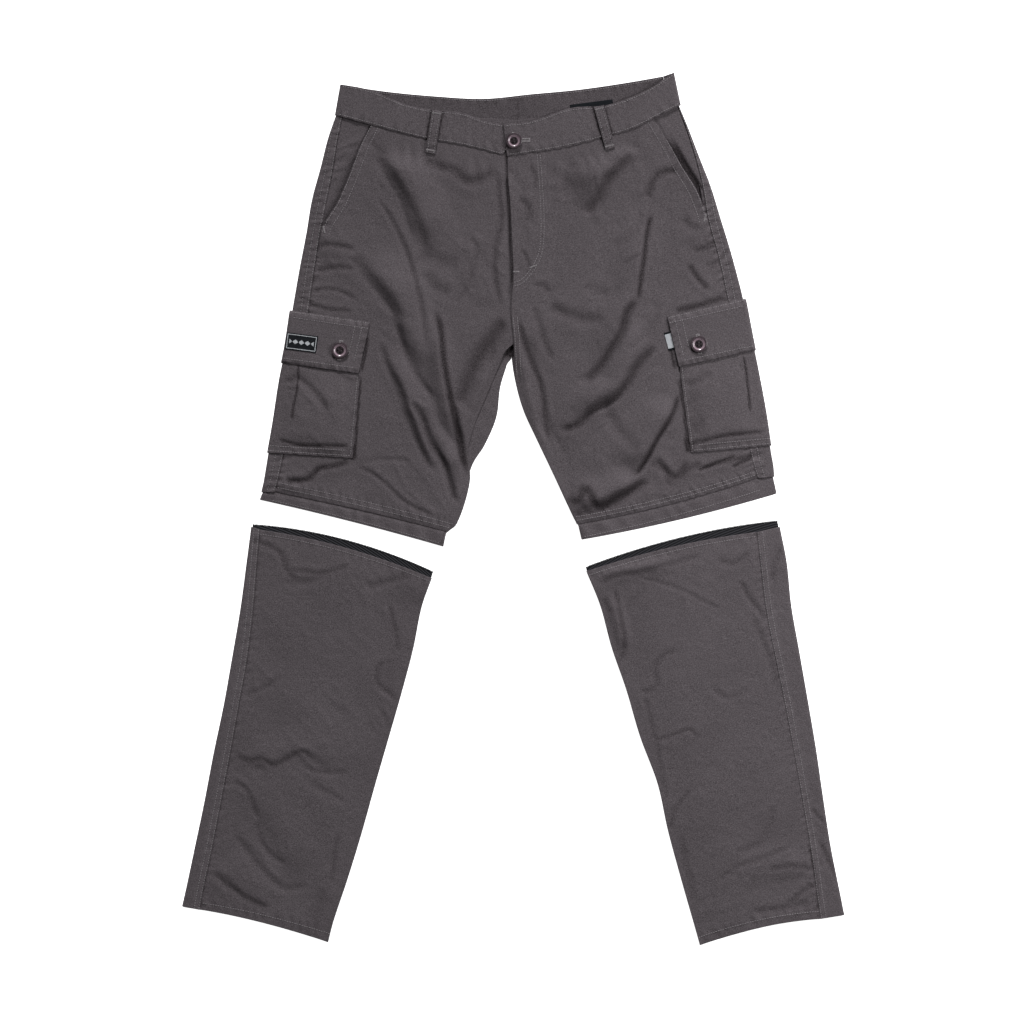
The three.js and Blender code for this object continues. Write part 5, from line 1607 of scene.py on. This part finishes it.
def make_hem_band(half):
    """The cover that hides the zip at each hem of the shorts."""
    hidden = FRONT_LIFT - GAP
    stages = [
        (HEM_TUCK_ROW, LAYER + GAP, hidden, LAYER),
        (HEM_ROW + 0.15, LAYER + GAP, hidden, LAYER),
        (HEM_ROW + 0.4, 1.0, hidden, 2 * GAP),
        (HEM_ROW + 1.0, 0.0, hidden - GAP, 0.0),
    ]
    places = np.concatenate([np.linspace(0, 2, 9)[:-1], 2 + close_steps(COVER_HEIGHT, 1.6, first=False)])
    row, inset, top, bottom = (np.interp(places, range(len(stages)), column) for column in zip(*stages))
    rings = []
    for i, place in enumerate(row):
        section = half.read(place)
        side = toward(section.edge, section.front, inset[i])
        inner = toward(section.front, section.edge, inset[i] / 2)
        rings.append(Ring(side, inner, float(section.bow), top[i], bottom[i], FLUSH))
    outer, inner = tube_wall(rings, CLOTH)
    seams = [Seam(half.across(COVER_PUCKER_ROW), 0.35 * sizes().pucker, 12, 26, 0, 101)]
    drawn = puckers(seams, *plan(outer)) * smooth((outer[..., 2] - 1.5) / 1.5)
    on_top = 0.7 * smooth((outer[..., 2] - 2.5) / 1.5)
    shown = smooth((row - HEM_ROW - 0.02) / 0.15)[:, None] * (drawn + on_top)
    for grid in (outer, inner):
        grid[..., 2] += shown
    return cloth_piece(f"cloth_hem_band_{half.name}", outer, inner, f"hem_band_{half.name}",
                       twill(), open_edges=(True, True, False, False), looped=True,
                       worn=WEAR_SHOWN * drawn)


# Pieces of the lower legs
Leg = namedtuple("Leg", "name read rows zip seams")


def lower_legs():
    legs = []
    depth = 0.5 * sizes().pucker
    for name, sections, zip_reach, seed in (
            ("right", LEG_RIGHT, ZIP_RIGHT, 111), ("left", LEG_LEFT, ZIP_LEFT, 121)):
        read = reader(sections)
        last = len(sections) - 1
        seam = resampled(read(np.linspace(0, last, 100)).seam, SEAM_STEP)
        seams = [
            Seam(seam, depth, 7, 10, 0.2, seed),
            Seam(beside(seam, 7 * OUTWARD[name]), 0.7 * depth, 6, 9, 0.1, seed + 1),
            Seam(line_across(read, "inner", LEG_HEM_ROW), 0.7 * depth, 8, 14, 0.15, seed + 2),
            Seam(line_across(read, "inner", LEG_TOP_ROW), 0.8 * depth, 7, 11, 0.15, seed + 3),
        ]
        legs.append(Leg(name, read, last, zip_reach, seams))
    return legs


def leg_base(leg, row, u):
    section = leg.read(row)
    from_inseam = (1 - u) * distance(section.seam, section.inner)
    inseam = lerp(LAYER, FRONT_LIFT, smooth((1.2 - row) / 0.8))
    return lerp(inseam, FRONT_LIFT, smooth(from_inseam / INSEAM_SLOPE)), from_inseam


def leg_under(leg, row, u, x, y):
    base, from_inseam = leg_base(leg, row, u)
    clear = smooth(from_inseam / SEAM_MARGIN) * smooth(row / 0.3) * smooth((leg.rows - row) / 0.5)
    relief = crest_height(LEG_FOLDS, x, y) + sunk(LEG_VALLEYS, x, y)[0]
    relief = clear * (relief + 0.75 * crumple(x, y)) + puckers(leg.seams, x, y)
    return np.maximum(base + relief, LAYER)


def leg_worn(leg, x, y):
    """Paler between the seam's stitch rows, with painted shade in the valleys."""
    strip = np.exp(-(nearest_on(leg.seams[1].line, x, y)[0] / 5) ** 4)
    return WEAR_SHOWN * puckers(leg.seams, x, y) + 0.07 * strip - sunk(LEG_VALLEYS, x, y)[1]


def make_leg_front(leg):
    step = 1.15 * sizes().grid
    rows = even_rows(leg.read, "seam", 0, leg.rows, step)[:, None]
    section = leg.read(rows[:, 0])
    shares = close_steps(distance(section.seam, section.inner).mean(), step)
    u = np.broadcast_to(shares[None], (len(rows), len(shares)))
    xy = lerp(section.seam[:, None], section.inner[:, None], u[..., None])
    xy[..., 1] += bulge(u) * section.bow[:, None]
    x, y = plan(xy)
    outer, inner = flat_wall(xy, leg_under(leg, np.broadcast_to(rows, u.shape), u, x, y))
    return cloth_piece(f"cloth_leg_front_{leg.name}", outer, inner, f"leg_front_{leg.name}",
                       twill(), worn=leg_worn(leg, x, y))


def make_leg_back(leg):
    rows = even_rows(leg.read, "seam", 0, leg.rows, 1.5 * sizes().grid)
    section = leg.read(rows)
    seam_top = leg_base(leg, rows, np.zeros_like(rows))[0] + CLOTH

    def top_at(points):
        x, y = plan(points)
        level, off_fold = side_strip(section, seam_top, points)
        folds = sunk(LEG_VALLEYS, x, y)[0] + 0.5 * crumple(x, y)
        return level + off_fold * (puckers(leg.seams, x, y) + folds)

    def bottom_at(points):
        return lifted_off_floor(section, points)

    start = toward(section.seam, section.inner, SEAM_TUCK)
    outer, inner = wrapped_wall(start, section.edge, section.inner, top_at, bottom_at,
                                np.linspace(0, 1, SIDE_STEPS),
                                close_steps(LEG_BACK_WIDTH, 2 * sizes().grid, first=False), bow=section.bow)
    worn = leg_worn(leg, *plan(outer)) * (outer[..., 2] > FRONT_LIFT / 2)
    return cloth_piece(f"cloth_leg_back_{leg.name}", outer, inner, f"leg_back_{leg.name}", twill(),
                       worn=worn)


def make_leg_zip(leg):
    """The zip's tape round the top of a lower leg."""
    hidden = FRONT_LIFT - GAP
    stages = [
        (ZIP_TUCK_ROW, LAYER + GAP, 0.0, hidden, LAYER),
        (0.0, LAYER + GAP, 0.0, hidden, LAYER),
        (0.0, LAYER, 0.4, hidden - GAP, 2 * GAP),
        (0.0, LAYER, 1.0, hidden - 2 * GAP, 0.0),
    ]
    places = np.concatenate([np.linspace(0, 1, 4)[:-1], np.linspace(1, 2, 8)[:-1],
                             2 + close_steps(TAPE_HEIGHT, 1.0, first=False)])
    row, inset, share, top, bottom = (np.interp(places, range(len(stages)), column)
                                      for column in zip(*stages))
    rings = []
    for i, place in enumerate(row):
        section = leg.read(place)
        side = toward(section.edge, section.inner, inset[i])
        inner = toward(section.inner, section.edge, inset[i] / 2)
        reach = ZipReach(*(share[i] * r for r in leg.zip))
        rings.append(Ring(side, inner, float(section.bow), top[i], bottom[i], reach))
    outer, inner = tube_wall(rings, ZIP_TAPE)
    piece = cloth_piece(f"zip_tape_{leg.name}", outer, inner, f"leg_zip_{leg.name}",
                        zip_tape(), open_edges=(True, True, False, False),
                        looped=True)
    make_coil(leg, outer[-1])
    return piece


def make_coil(leg, rim):
    """The turns of the zip's coil along the tape's outer edge."""
    rim = np.vstack([rim, rim[:1]])
    run = run_of(rim)
    centres = points_at(rim, run, np.arange(0, run[-1], sizes().tooth_pitch))
    centres[:, 2] = np.maximum(centres[:, 2], ZIP_COIL / 2)
    section = leg.read(0.0)
    out = np.array(section.edge) - np.array(section.inner)
    up = np.array([out[1], -out[0], 0]) * np.sign(section.inner[0] - section.edge[0])
    up /= np.linalg.norm(up)
    lay_beads(f"zip_coil_{leg.name}", centres, np.broadcast_to(up, centres.shape), COIL_TURN, ZIP_COIL,
              zip_coil(), lift=0.3)


# Small things laid along lines
BEAD = [(-0.5, 0.3, -0.55), (-0.32, 1.0, 0.0), (0.32, 1.0, 0.0), (0.5, 0.3, -0.55)]
BEAD_SIDES = 5


def lay_beads(name, centres, ahead, length, thickness, finish, lift=0.0):
    """One mesh of small rounded beads, each at a centre and lying along its direction."""
    ahead = ahead / np.linalg.norm(ahead, axis=1, keepdims=True)
    across = np.cross(ahead, [0, 0, 1.0])
    across /= np.maximum(np.linalg.norm(across, axis=1, keepdims=True), 1e-6)
    up = np.cross(across, ahead)
    angle = (np.arange(BEAD_SIDES) * 2 * np.pi / BEAD_SIDES)[None, :, None]
    rings = []
    for along, wide, below in BEAD:
        r = wide * thickness / 2
        middle = centres + along * length * ahead + (lift + below * thickness) * up
        turned = r * np.cos(angle) * across[:, None], r * np.sin(angle) * up[:, None]
        rings.append(middle[:, None] + turned[0] + turned[1])
    points = np.stack(rings, axis=1)
    one = np.arange(len(BEAD) * BEAD_SIDES).reshape(len(BEAD), BEAD_SIDES)
    beyond = np.roll(one, -1, axis=1)
    quads = np.stack([one[:-1], beyond[:-1], beyond[1:], one[1:]], axis=-1).reshape(-1, 4)
    offsets = np.arange(len(centres))[:, None, None] * one.size
    faces = (quads[None] + offsets).reshape(-1, 4).tolist()
    caps = (np.stack([one[0][::-1], one[-1]])[None] + offsets).reshape(-1, BEAD_SIDES).tolist()
    mesh = bpy.data.meshes.new(name)
    mesh.from_pydata((points.reshape(-1, 3) * MM).tolist(), [], faces + caps)
    mesh.polygons.foreach_set("use_smooth", np.ones(len(mesh.polygons), bool))
    mesh.update()
    piece = add_object(name, mesh)
    piece.data.materials.append(finish)
    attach(piece, BODY)
    return piece


class Surface:
    """The top of a finished cloth piece, found from above."""
    def __init__(self, name):
        mesh = bpy.data.objects[name].data
        corners = [v.co[:] for v in mesh.vertices]
        self.tree = BVHTree.FromPolygons(corners, [p.vertices[:] for p in mesh.polygons])

    def height(self, x, y):
        """Height in millimetres, or -1 beside the piece."""
        hit = self.tree.ray_cast(Vector((x * MM, y * MM, 0.1)), Vector((0, 0, -1)))[0]
        return -1.0 if hit is None else hit.z / MM


class Needle:
    """Collects stitches laid on finished cloth, and makes them one piece."""
    def __init__(self):
        self.surfaces, self.centres, self.aheads = {}, [], []

    def height(self, name, x, y):
        if name not in self.surfaces:
            self.surfaces[name] = Surface(name)
        return self.surfaces[name].height(x, y)

    def lay(self, line, on, covers):
        """The runs of a line, dropped on a piece, that nothing covers."""
        runs, run = [], []
        for x, y in line:
            z = self.height(on, x, y)
            if z < 0 or any(self.height(cover, x, y) > z for cover in covers):
                runs.append(run)
                run = []
            else:
                run.append((x, y, z))
        return [np.array(found) for found in (*runs, run) if len(found) > 4]

    def row(self, line, on, *covers):
        """One row of stitches."""
        for laid in self.lay(resampled(line, 1.1), on, covers):
            run = run_of(laid)
            at = np.arange(sizes().stitch_pitch / 2, run[-1], sizes().stitch_pitch)
            if len(at) > 1:
                points = points_at(laid, run, at)
                self.centres.append(points)
                self.aheads.append(np.gradient(points, axis=0))

    def tack(self, centre, turn, on, length=9.0):
        """A bar of close stitches that lie across it."""
        along = heading(turn)
        at = np.linspace(-length / 2, length / 2, int(length / sizes().thread))
        points = [(x, y, self.height(on, x, y)) for x, y in np.array(centre) + at[:, None] * along]
        points = np.array([point for point in points if point[2] > 0]).reshape(-1, 3)
        self.centres.append(points)
        self.aheads.append(np.tile([-along[1], along[0], 0.0], (len(points), 1)))

    def buttonhole(self, centre, turn, on, length):
        """Two bars side by side and a bar across each end."""
        along = heading(turn)
        across = np.array([-along[1], along[0]])
        for side in (-1.5, 1.5):
            self.tack(centre + side * across, turn, on, length)
        for end in (-length / 2, length / 2):
            self.tack(centre + end * along, turn + math.pi / 2, on, 4)

    def finish(self, name):
        return lay_beads(name, np.concatenate(self.centres), np.concatenate(self.aheads), sizes().stitch,
                         sizes().thread, sewing_thread(), lift=0.12)


# Stitching
def sew_half(half):
    """Side seam, pocket mouth and hem rows of one half of the shorts."""
    needle = Needle()
    front, back, band, pocket, flap, cover = (
        f"cloth_{part}_{half.name}"
        for part in ("front", "back", "waistband", "cargo_pocket", "cargo_flap", "hem_band"))
    out = OUTWARD[half.name]
    for offset in SIDE_STITCHES:
        needle.row(beside(half.seam, out * offset), back, front, band, pocket, flap)
    slash = resampled(half.slash, 4)
    for offset in MOUTH_STITCHES:
        needle.row(beside(slash, -out * offset), front, band)
    needle.tack(half.slash[-1] + (-4 * out, 3), 1.3 * out, front)
    for row in HEM_STITCH_ROWS:
        needle.row(half.across(row, 0.005, 0.99), front, pocket)
    needle.row(half.across(COVER_STITCH_ROW, 0.0, 0.98), cover, front)
    needle.finish(f"stitching_{half.name}")


def sew_fly():
    needle = Needle()
    front = "cloth_front_left"
    for line in FLY_STITCHES:
        needle.row(line, front, "cloth_waistband_left")
    for centre, turn in FLY_TACKS:
        needle.tack(centre, turn, front)
    centre_line = reader(SHORTS_LEFT)(np.linspace(FLY_ROW + 0.3, CROTCH_ROW + 0.8, 12)).front
    for offset in CENTRE_STITCHES:
        needle.row(beside(centre_line, offset), front)
    needle.finish("stitching_fly")


def sew_waist():
    needle = Needle()
    loops = [f"cloth_belt_loop_front_{name}" for name in FRONT_LOOPS]
    left_band = "cloth_waistband_left"
    for name, stations in (("right", WAISTBAND_RIGHT), ("left", WAISTBAND_LEFT)):
        line = reader(stations)(np.linspace(0.1, len(stations) - 1.1, 60))
        for share in BAND_STITCHES:
            needle.row(lerp(line.lower, line.upper, share), f"cloth_waistband_{name}", left_band, *loops)
    back = reader(WAISTBAND_BACK)(np.linspace(0, len(WAISTBAND_BACK) - 1, 60))
    needle.row(lerp(back.lower, back.upper, BAND_STITCHES[1]), "cloth_waistband_back",
               "cloth_waistband_right", left_band)
    for name, ends in FRONT_LOOPS.items():
        loop = f"cloth_belt_loop_front_{name}"
        top, bottom, across = loop_line(ends)
        for side in LOOP_STITCHES:
            needle.row([top + side * across, bottom + side * across], loop)
        turn = math.atan2(across[1], across[0])
        for share in LOOP_TACKS:
            needle.tack(lerp(top, bottom, share), turn, loop, 11)
    needle.buttonhole(np.array(WAIST_BUTTON_AT) + (9, 1), 0.0, left_band, 22)
    needle.finish("stitching_waist")


def sew_pocket(half):
    needle = Needle()
    pocket, flap = f"cloth_cargo_pocket_{half.name}", f"cloth_cargo_flap_{half.name}"
    inner_row, outer_row = (pocket_lines(half, half.cargo, inset) for inset in POCKET_STITCHES)
    for lines in (inner_row, outer_row):
        needle.row(lines.lower, pocket)
    needle.row(outer_row.front, pocket, flap)
    for inset in FLAP_TOP_STITCHES:
        needle.row(pocket_lines(half, half.flap, inset).upper, flap)
    needle.row(pocket_lines(half, half.flap, FLAP_LOWER_STITCH).lower, flap)
    for inset in FLAP_FRONT_STITCHES:
        needle.row(pocket_lines(half, half.flap, inset).front[7:-3], flap)
    needle.buttonhole(np.array(FLAP_BUTTONS_AT[half.name]), FLAP_BUTTONHOLE_TURN[half.name], flap, 25)
    needle.finish(f"stitching_pocket_{half.name}")


def sew_leg(leg):
    needle = Needle()
    front, back = f"cloth_leg_front_{leg.name}", f"cloth_leg_back_{leg.name}"
    seam = leg.read(np.linspace(0, leg.rows, 80)).seam
    for offset in LEG_SIDE_STITCHES:
        needle.row(beside(seam, OUTWARD[leg.name] * offset), back, front)
    for row in (LEG_TOP_ROW, LEG_HEM_ROW):
        needle.row(line_across(leg.read, "inner", row), front)
    needle.finish(f"stitching_leg_{leg.name}")


# Labels
def plate_sides(plate):
    """Directions across a plate and down it."""
    across = heading(plate.turn)
    return across, np.array([across[1], -across[0]])


def label_points(plate):
    across, down = plate_sides(plate)
    width, height = plate.size
    s = close_steps(width, 0.5)[None, :, None] - 0.5
    t = close_steps(height, 0.5)[:, None, None] - 0.5
    return plate.centre + s * width * across + t * height * down, s[..., 0] * width, t[..., 0] * height


def tucked(plate, right=0, down=0):
    """A plate made larger toward its right or lower edge, where it is sewn under a seam."""
    across, below = plate_sides(plate)
    width, height = plate.size
    centre = plate.centre + right / 2 * across + down / 2 * below
    return Plate(centre, (width + right, height + down), plate.turn)


def bordered(s, t, plate):
    """A thin border and a row of small diamonds, 0 to 1."""
    width, height = plate.size
    frame_gap = np.minimum(width / 2 - np.abs(s), height / 2 - np.abs(t))
    border = np.abs(frame_gap - 2) < 0.35
    diamonds = 0.8 * np.abs((s + 4) % 8 - 4) + np.abs(t) < 3.2
    return (border | (diamonds & (frame_gap > 4.6))).astype(float)


def lined(s, t, plate):
    """One light line along the label."""
    return (np.abs(t - 0.28 * plate.size[1]) < 0.5).astype(float) + 0 * s


def pale(s, t, plate):
    """Light threads all over, with a dark bar across each end."""
    return (np.abs(t) < 0.5 * plate.size[1] - 2.5) + 0 * s


def make_label(name, node, plate, on, design):
    xy, s, t = label_points(plate)
    surface = Surface(on)
    height = np.array([[surface.height(x, y) for x, y in row] for row in xy])
    under = np.where(height < 0, height[height > 0].min(), height) + 0.12
    outer, inner = flat_wall(xy, under, LABEL)
    light = 0.9 * design(s, t, plate) - EVEN_WEAR
    return cloth_piece(name, outer, inner, node, woven_label(), worn=light)


# Buttons
def select_faces(piece, chosen):
    """In edit mode, selects only the faces that are chosen."""
    bpy.ops.object.mode_set(mode="EDIT")
    bpy.ops.mesh.select_mode(type="FACE")
    bpy.ops.mesh.select_all(action="DESELECT")
    bpy.ops.object.mode_set(mode="OBJECT")
    for face in piece.data.polygons:
        face.select = chosen(face)
    bpy.ops.object.mode_set(mode="EDIT")


def apply_modifier(piece, kind, **settings):
    modifier = piece.modifiers.new(kind.lower(), kind)
    for name, value in settings.items():
        setattr(modifier, name, value)
    bpy.ops.object.modifier_apply(modifier=modifier.name)


def make_button(radius):
    """A four-holed button in metres: a disc with a raised rim, a dished middle and rounded edges."""
    height = BUTTON_HEIGHT * radius
    bpy.ops.object.select_all(action="DESELECT")
    cutters = []
    for k in range(4):
        x, y = HOLE_SPREAD * radius * heading(math.pi / 4 + k * math.pi / 2)
        bpy.ops.mesh.primitive_cylinder_add(vertices=20, radius=HOLE_RADIUS * radius, depth=3 * height,
                                            location=(x, y, height / 2))
        cutters.append(bpy.context.object)
    for cutter in cutters:
        cutter.select_set(True)
    bpy.ops.object.join()
    holes = bpy.context.object
    bpy.ops.object.select_all(action="DESELECT")
    bpy.ops.mesh.primitive_cylinder_add(vertices=72, radius=radius, depth=height,
                                        location=(0, 0, height / 2))
    button = bpy.context.object
    select_faces(button, lambda face: face.normal.z > 0.9)
    bpy.ops.mesh.inset(thickness=BUTTON_RIM * radius)
    bpy.ops.mesh.inset(thickness=BUTTON_SLOPE * radius)
    bpy.ops.transform.translate(value=(0, 0, -BUTTON_DISH * height))
    bpy.ops.mesh.inset(thickness=0.12 * radius)
    bpy.ops.transform.translate(value=(0, 0, 0.06 * height))
    bpy.ops.object.mode_set(mode="OBJECT")
    apply_modifier(button, "BEVEL", width=0.07 * radius, segments=4, limit_method="ANGLE")
    apply_modifier(button, "BOOLEAN", object=holes, operation="DIFFERENCE", solver="EXACT")
    bpy.data.objects.remove(holes)
    bpy.ops.object.shade_smooth_by_angle(angle=math.radians(35))
    bpy.ops.object.transform_apply()
    # The ring value marks the dish wall, 1, for the painted highlight, and the middle, -1, which is darker
    reach = [v.co.xy.length / radius for v in button.data.vertices]
    ring = button.data.attributes.new("ring", "FLOAT", "POINT").data
    ring.foreach_set("value", [float(0.5 < r < 0.71) - float(r < 0.44) for r in reach])
    return button


def place_button(model, name, centre, under, turn):
    """A copy of a button in its place, in millimetres, and its thread across each pair of holes."""
    mesh = model.data.copy()
    place = Matrix.Translation(Vector((*centre, under)) * MM) @ Matrix.Rotation(turn, 4, "Z")
    mesh.transform(place)
    button = add_object(f"resin_{name}", mesh)
    button.data.materials.append(button_resin())
    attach(button, BODY)
    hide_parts(name)
    radius = model.dimensions.x / 2 / MM
    spread = 0.18 * radius
    knots = [place @ (Vector((0, side * spread, 0.21 * radius)) * MM) / MM for side in (-1, 1)]
    centres = np.array([np.array(knot) + (0, 0.35 * k, 0) for knot in knots for k in (-1, 0, 1)])
    along = np.tile([*heading(turn), 0.0], (len(centres), 1))
    lay_beads(f"thread_{name}", centres, along, 0.3 * radius, 0.5, button_thread())


def make_buttons():
    _, left = halves()
    centre = np.array(WAIST_BUTTON_AT, float)
    on_band = float(band_top(left, centre[:1], centre[1:])[0])
    flap_top = FRONT_TOP + 2 * LAYER
    waist, flap = (make_button(radius * MM) for radius in (sizes().waist_button, sizes().flap_button))
    place_button(waist, "waist_button", WAIST_BUTTON_AT, on_band + BUTTON_LIFT, 0.3)
    for turn, (name, at) in zip((0.9, 0.1), FLAP_BUTTONS_AT.items()):
        place_button(flap, f"flap_button_{name}", at, flap_top + BUTTON_LIFT, turn)
    for model in (waist, flap):
        bpy.data.objects.remove(model)


# Operators
class TROUSERS_OT_fronts(bpy.types.Operator):
    """Make the shorts' fronts and their pocket facings"""
    bl_idname = "trousers.fronts"
    bl_label = "Fronts and facings"

    def execute(self, context):
        for half in halves():
            make_front(half)
            make_facing(half)
        return {"FINISHED"}


class TROUSERS_OT_backs(bpy.types.Operator):
    """Make the shorts' backs, which run round the side folds"""
    bl_idname = "trousers.backs"
    bl_label = "Backs"

    def execute(self, context):
        for half in halves():
            make_back(half)
        return {"FINISHED"}


class TROUSERS_OT_waistband(bpy.types.Operator):
    """Make the waistband and its belt loops"""
    bl_idname = "trousers.waistband"
    bl_label = "Waistband and belt loops"

    def execute(self, context):
        right, left = halves()
        make_waistband(right, WAISTBAND_RIGHT, WAISTBAND_BACK[0])
        make_waistband(left, WAISTBAND_LEFT, WAISTBAND_BACK[-1])
        make_back_waistband()
        for half in (right, left):
            make_front_loop(half)
        for name, ends in BACK_LOOPS.items():
            make_back_loop(name, ends)
        return {"FINISHED"}


class TROUSERS_OT_pockets(bpy.types.Operator):
    """Make the cargo pockets and their flaps"""
    bl_idname = "trousers.pockets"
    bl_label = "Cargo pockets and flaps"

    def execute(self, context):
        for half in halves():
            make_cargo_pocket(half)
            make_cargo_flap(half)
        return {"FINISHED"}


class TROUSERS_OT_hems(bpy.types.Operator):
    """Make the covers over the zips at the shorts' hems"""
    bl_idname = "trousers.hems"
    bl_label = "Zip covers"

    def execute(self, context):
        for half in halves():
            make_hem_band(half)
        return {"FINISHED"}


class TROUSERS_OT_lower_legs(bpy.types.Operator):
    """Make the zipped-off lower legs and their zips"""
    bl_idname = "trousers.lower_legs"
    bl_label = "Lower legs"

    def execute(self, context):
        for leg in lower_legs():
            make_leg_front(leg)
            make_leg_back(leg)
            make_leg_zip(leg)
        return {"FINISHED"}


class TROUSERS_OT_labels(bpy.types.Operator):
    """Make the woven labels, with plain designs and no words"""
    bl_idname = "trousers.labels"
    bl_label = "Labels"

    def execute(self, context):
        make_label("woven_flap_label", "flap_label_right", FLAP_LABEL, "cloth_cargo_flap_right", bordered)
        tab = tucked(FLAP_TAB, right=LABEL_TUCK)
        make_label("woven_flap_tab", "flap_tab_left", tab, "cloth_front_left", pale)
        waist = tucked(WAIST_LABEL, down=LABEL_TUCK)
        make_label("woven_waist_label", "waist_label", waist, "cloth_waistband_back", lined)
        return {"FINISHED"}


class TROUSERS_OT_buttons(bpy.types.Operator):
    """Make the waist button and the two flap buttons"""
    bl_idname = "trousers.buttons"
    bl_label = "Buttons"

    def execute(self, context):
        make_buttons()
        return {"FINISHED"}


class TROUSERS_OT_stitching(bpy.types.Operator):
    """Sew every row, bar tack and buttonhole on the finished cloth"""
    bl_idname = "trousers.stitching"
    bl_label = "Stitching"

    def execute(self, context):
        for half in halves():
            sew_half(half)
            sew_pocket(half)
        sew_fly()
        sew_waist()
        for leg in lower_legs():
            sew_leg(leg)
        return {"FINISHED"}


class TROUSERS_OT_stage(bpy.types.Operator):
    """Set the floor, the lights and the camera straight above"""
    bl_idname = "trousers.stage"
    bl_label = "Stage"

    def execute(self, context):
        scene = context.scene
        bpy.ops.object.select_all(action="DESELECT")
        bpy.ops.mesh.primitive_plane_add(size=FLOOR_SIZE, location=(0, 0, -FLOOR_DROP))
        floor = context.object
        floor.name = "floor"
        floor.data.materials.append(pale_floor())
        add_light("window", "SUN", WINDOW_AT, WINDOW_POWER, angle=math.radians(WINDOW_ANGLE))
        add_light("side_wall", "AREA", SIDE_WALL_AT, SIDE_WALL_POWER, size=SIDE_WALL_SIZE)
        world = bpy.data.worlds.new("room")
        world.use_nodes = True
        world.node_tree.nodes["Background"].inputs["Color"].default_value = (1, 1, 1, 1)
        world.node_tree.nodes["Background"].inputs["Strength"].default_value = ROOM_LIGHT
        scene.world = world
        scene.view_settings.view_transform = "Standard"
        lens = bpy.data.cameras.new("camera")
        lens.lens = CAMERA_LENS
        lens.sensor_width = CAMERA_SENSOR
        camera = add_object("camera", lens)
        camera.location = (*CAMERA_PLAN, CAMERA_DISTANCE + FRONT_TOP * MM)
        scene.camera = camera
        return {"FINISHED"}


def add_light(name, kind, location, power, **settings):
    """A light that points at the middle of the floor."""
    data = bpy.data.lights.new(name, kind)
    data.energy = power
    for setting, value in settings.items():
        setattr(data, setting, value)
    light = add_object(name, data)
    light.location = location
    light.rotation_euler = (-Vector(location)).to_track_quat("-Z", "Y").to_euler()


OPERATORS = (
    TROUSERS_OT_fronts,
    TROUSERS_OT_backs,
    TROUSERS_OT_waistband,
    TROUSERS_OT_pockets,
    TROUSERS_OT_hems,
    TROUSERS_OT_lower_legs,
    TROUSERS_OT_labels,
    TROUSERS_OT_buttons,
    TROUSERS_OT_stitching,
    TROUSERS_OT_stage,
)


class TROUSERS_PT_panel(bpy.types.Panel):
    """Lists the steps that make the trousers"""
    bl_label = "Trousers"
    bl_space_type = "VIEW_3D"
    bl_region_type = "UI"
    bl_category = "Trousers"

    def draw(self, context):
        for step in OPERATORS:
            self.layout.operator(step.bl_idname)
        for group in (context.scene.trouser_sizes, context.scene.trouser_colours):
            for name in group.__annotations__:
                self.layout.prop(group, name)


CLASSES = (TrouserSizes, TrouserColours, *OPERATORS, TROUSERS_PT_panel)


def register():
    for one in CLASSES:
        bpy.utils.register_class(one)
    bpy.types.Scene.trouser_sizes = bpy.props.PointerProperty(type=TrouserSizes)
    bpy.types.Scene.trouser_colours = bpy.props.PointerProperty(type=TrouserColours)


def unregister():
    del bpy.types.Scene.trouser_colours
    del bpy.types.Scene.trouser_sizes
    for one in reversed(CLASSES):
        bpy.utils.unregister_class(one)


def main():
    register()
    for step in OPERATORS:
        group, name = step.bl_idname.split(".")
        getattr(getattr(bpy.ops, group), name)()


if __name__ == "__main__":
    main()
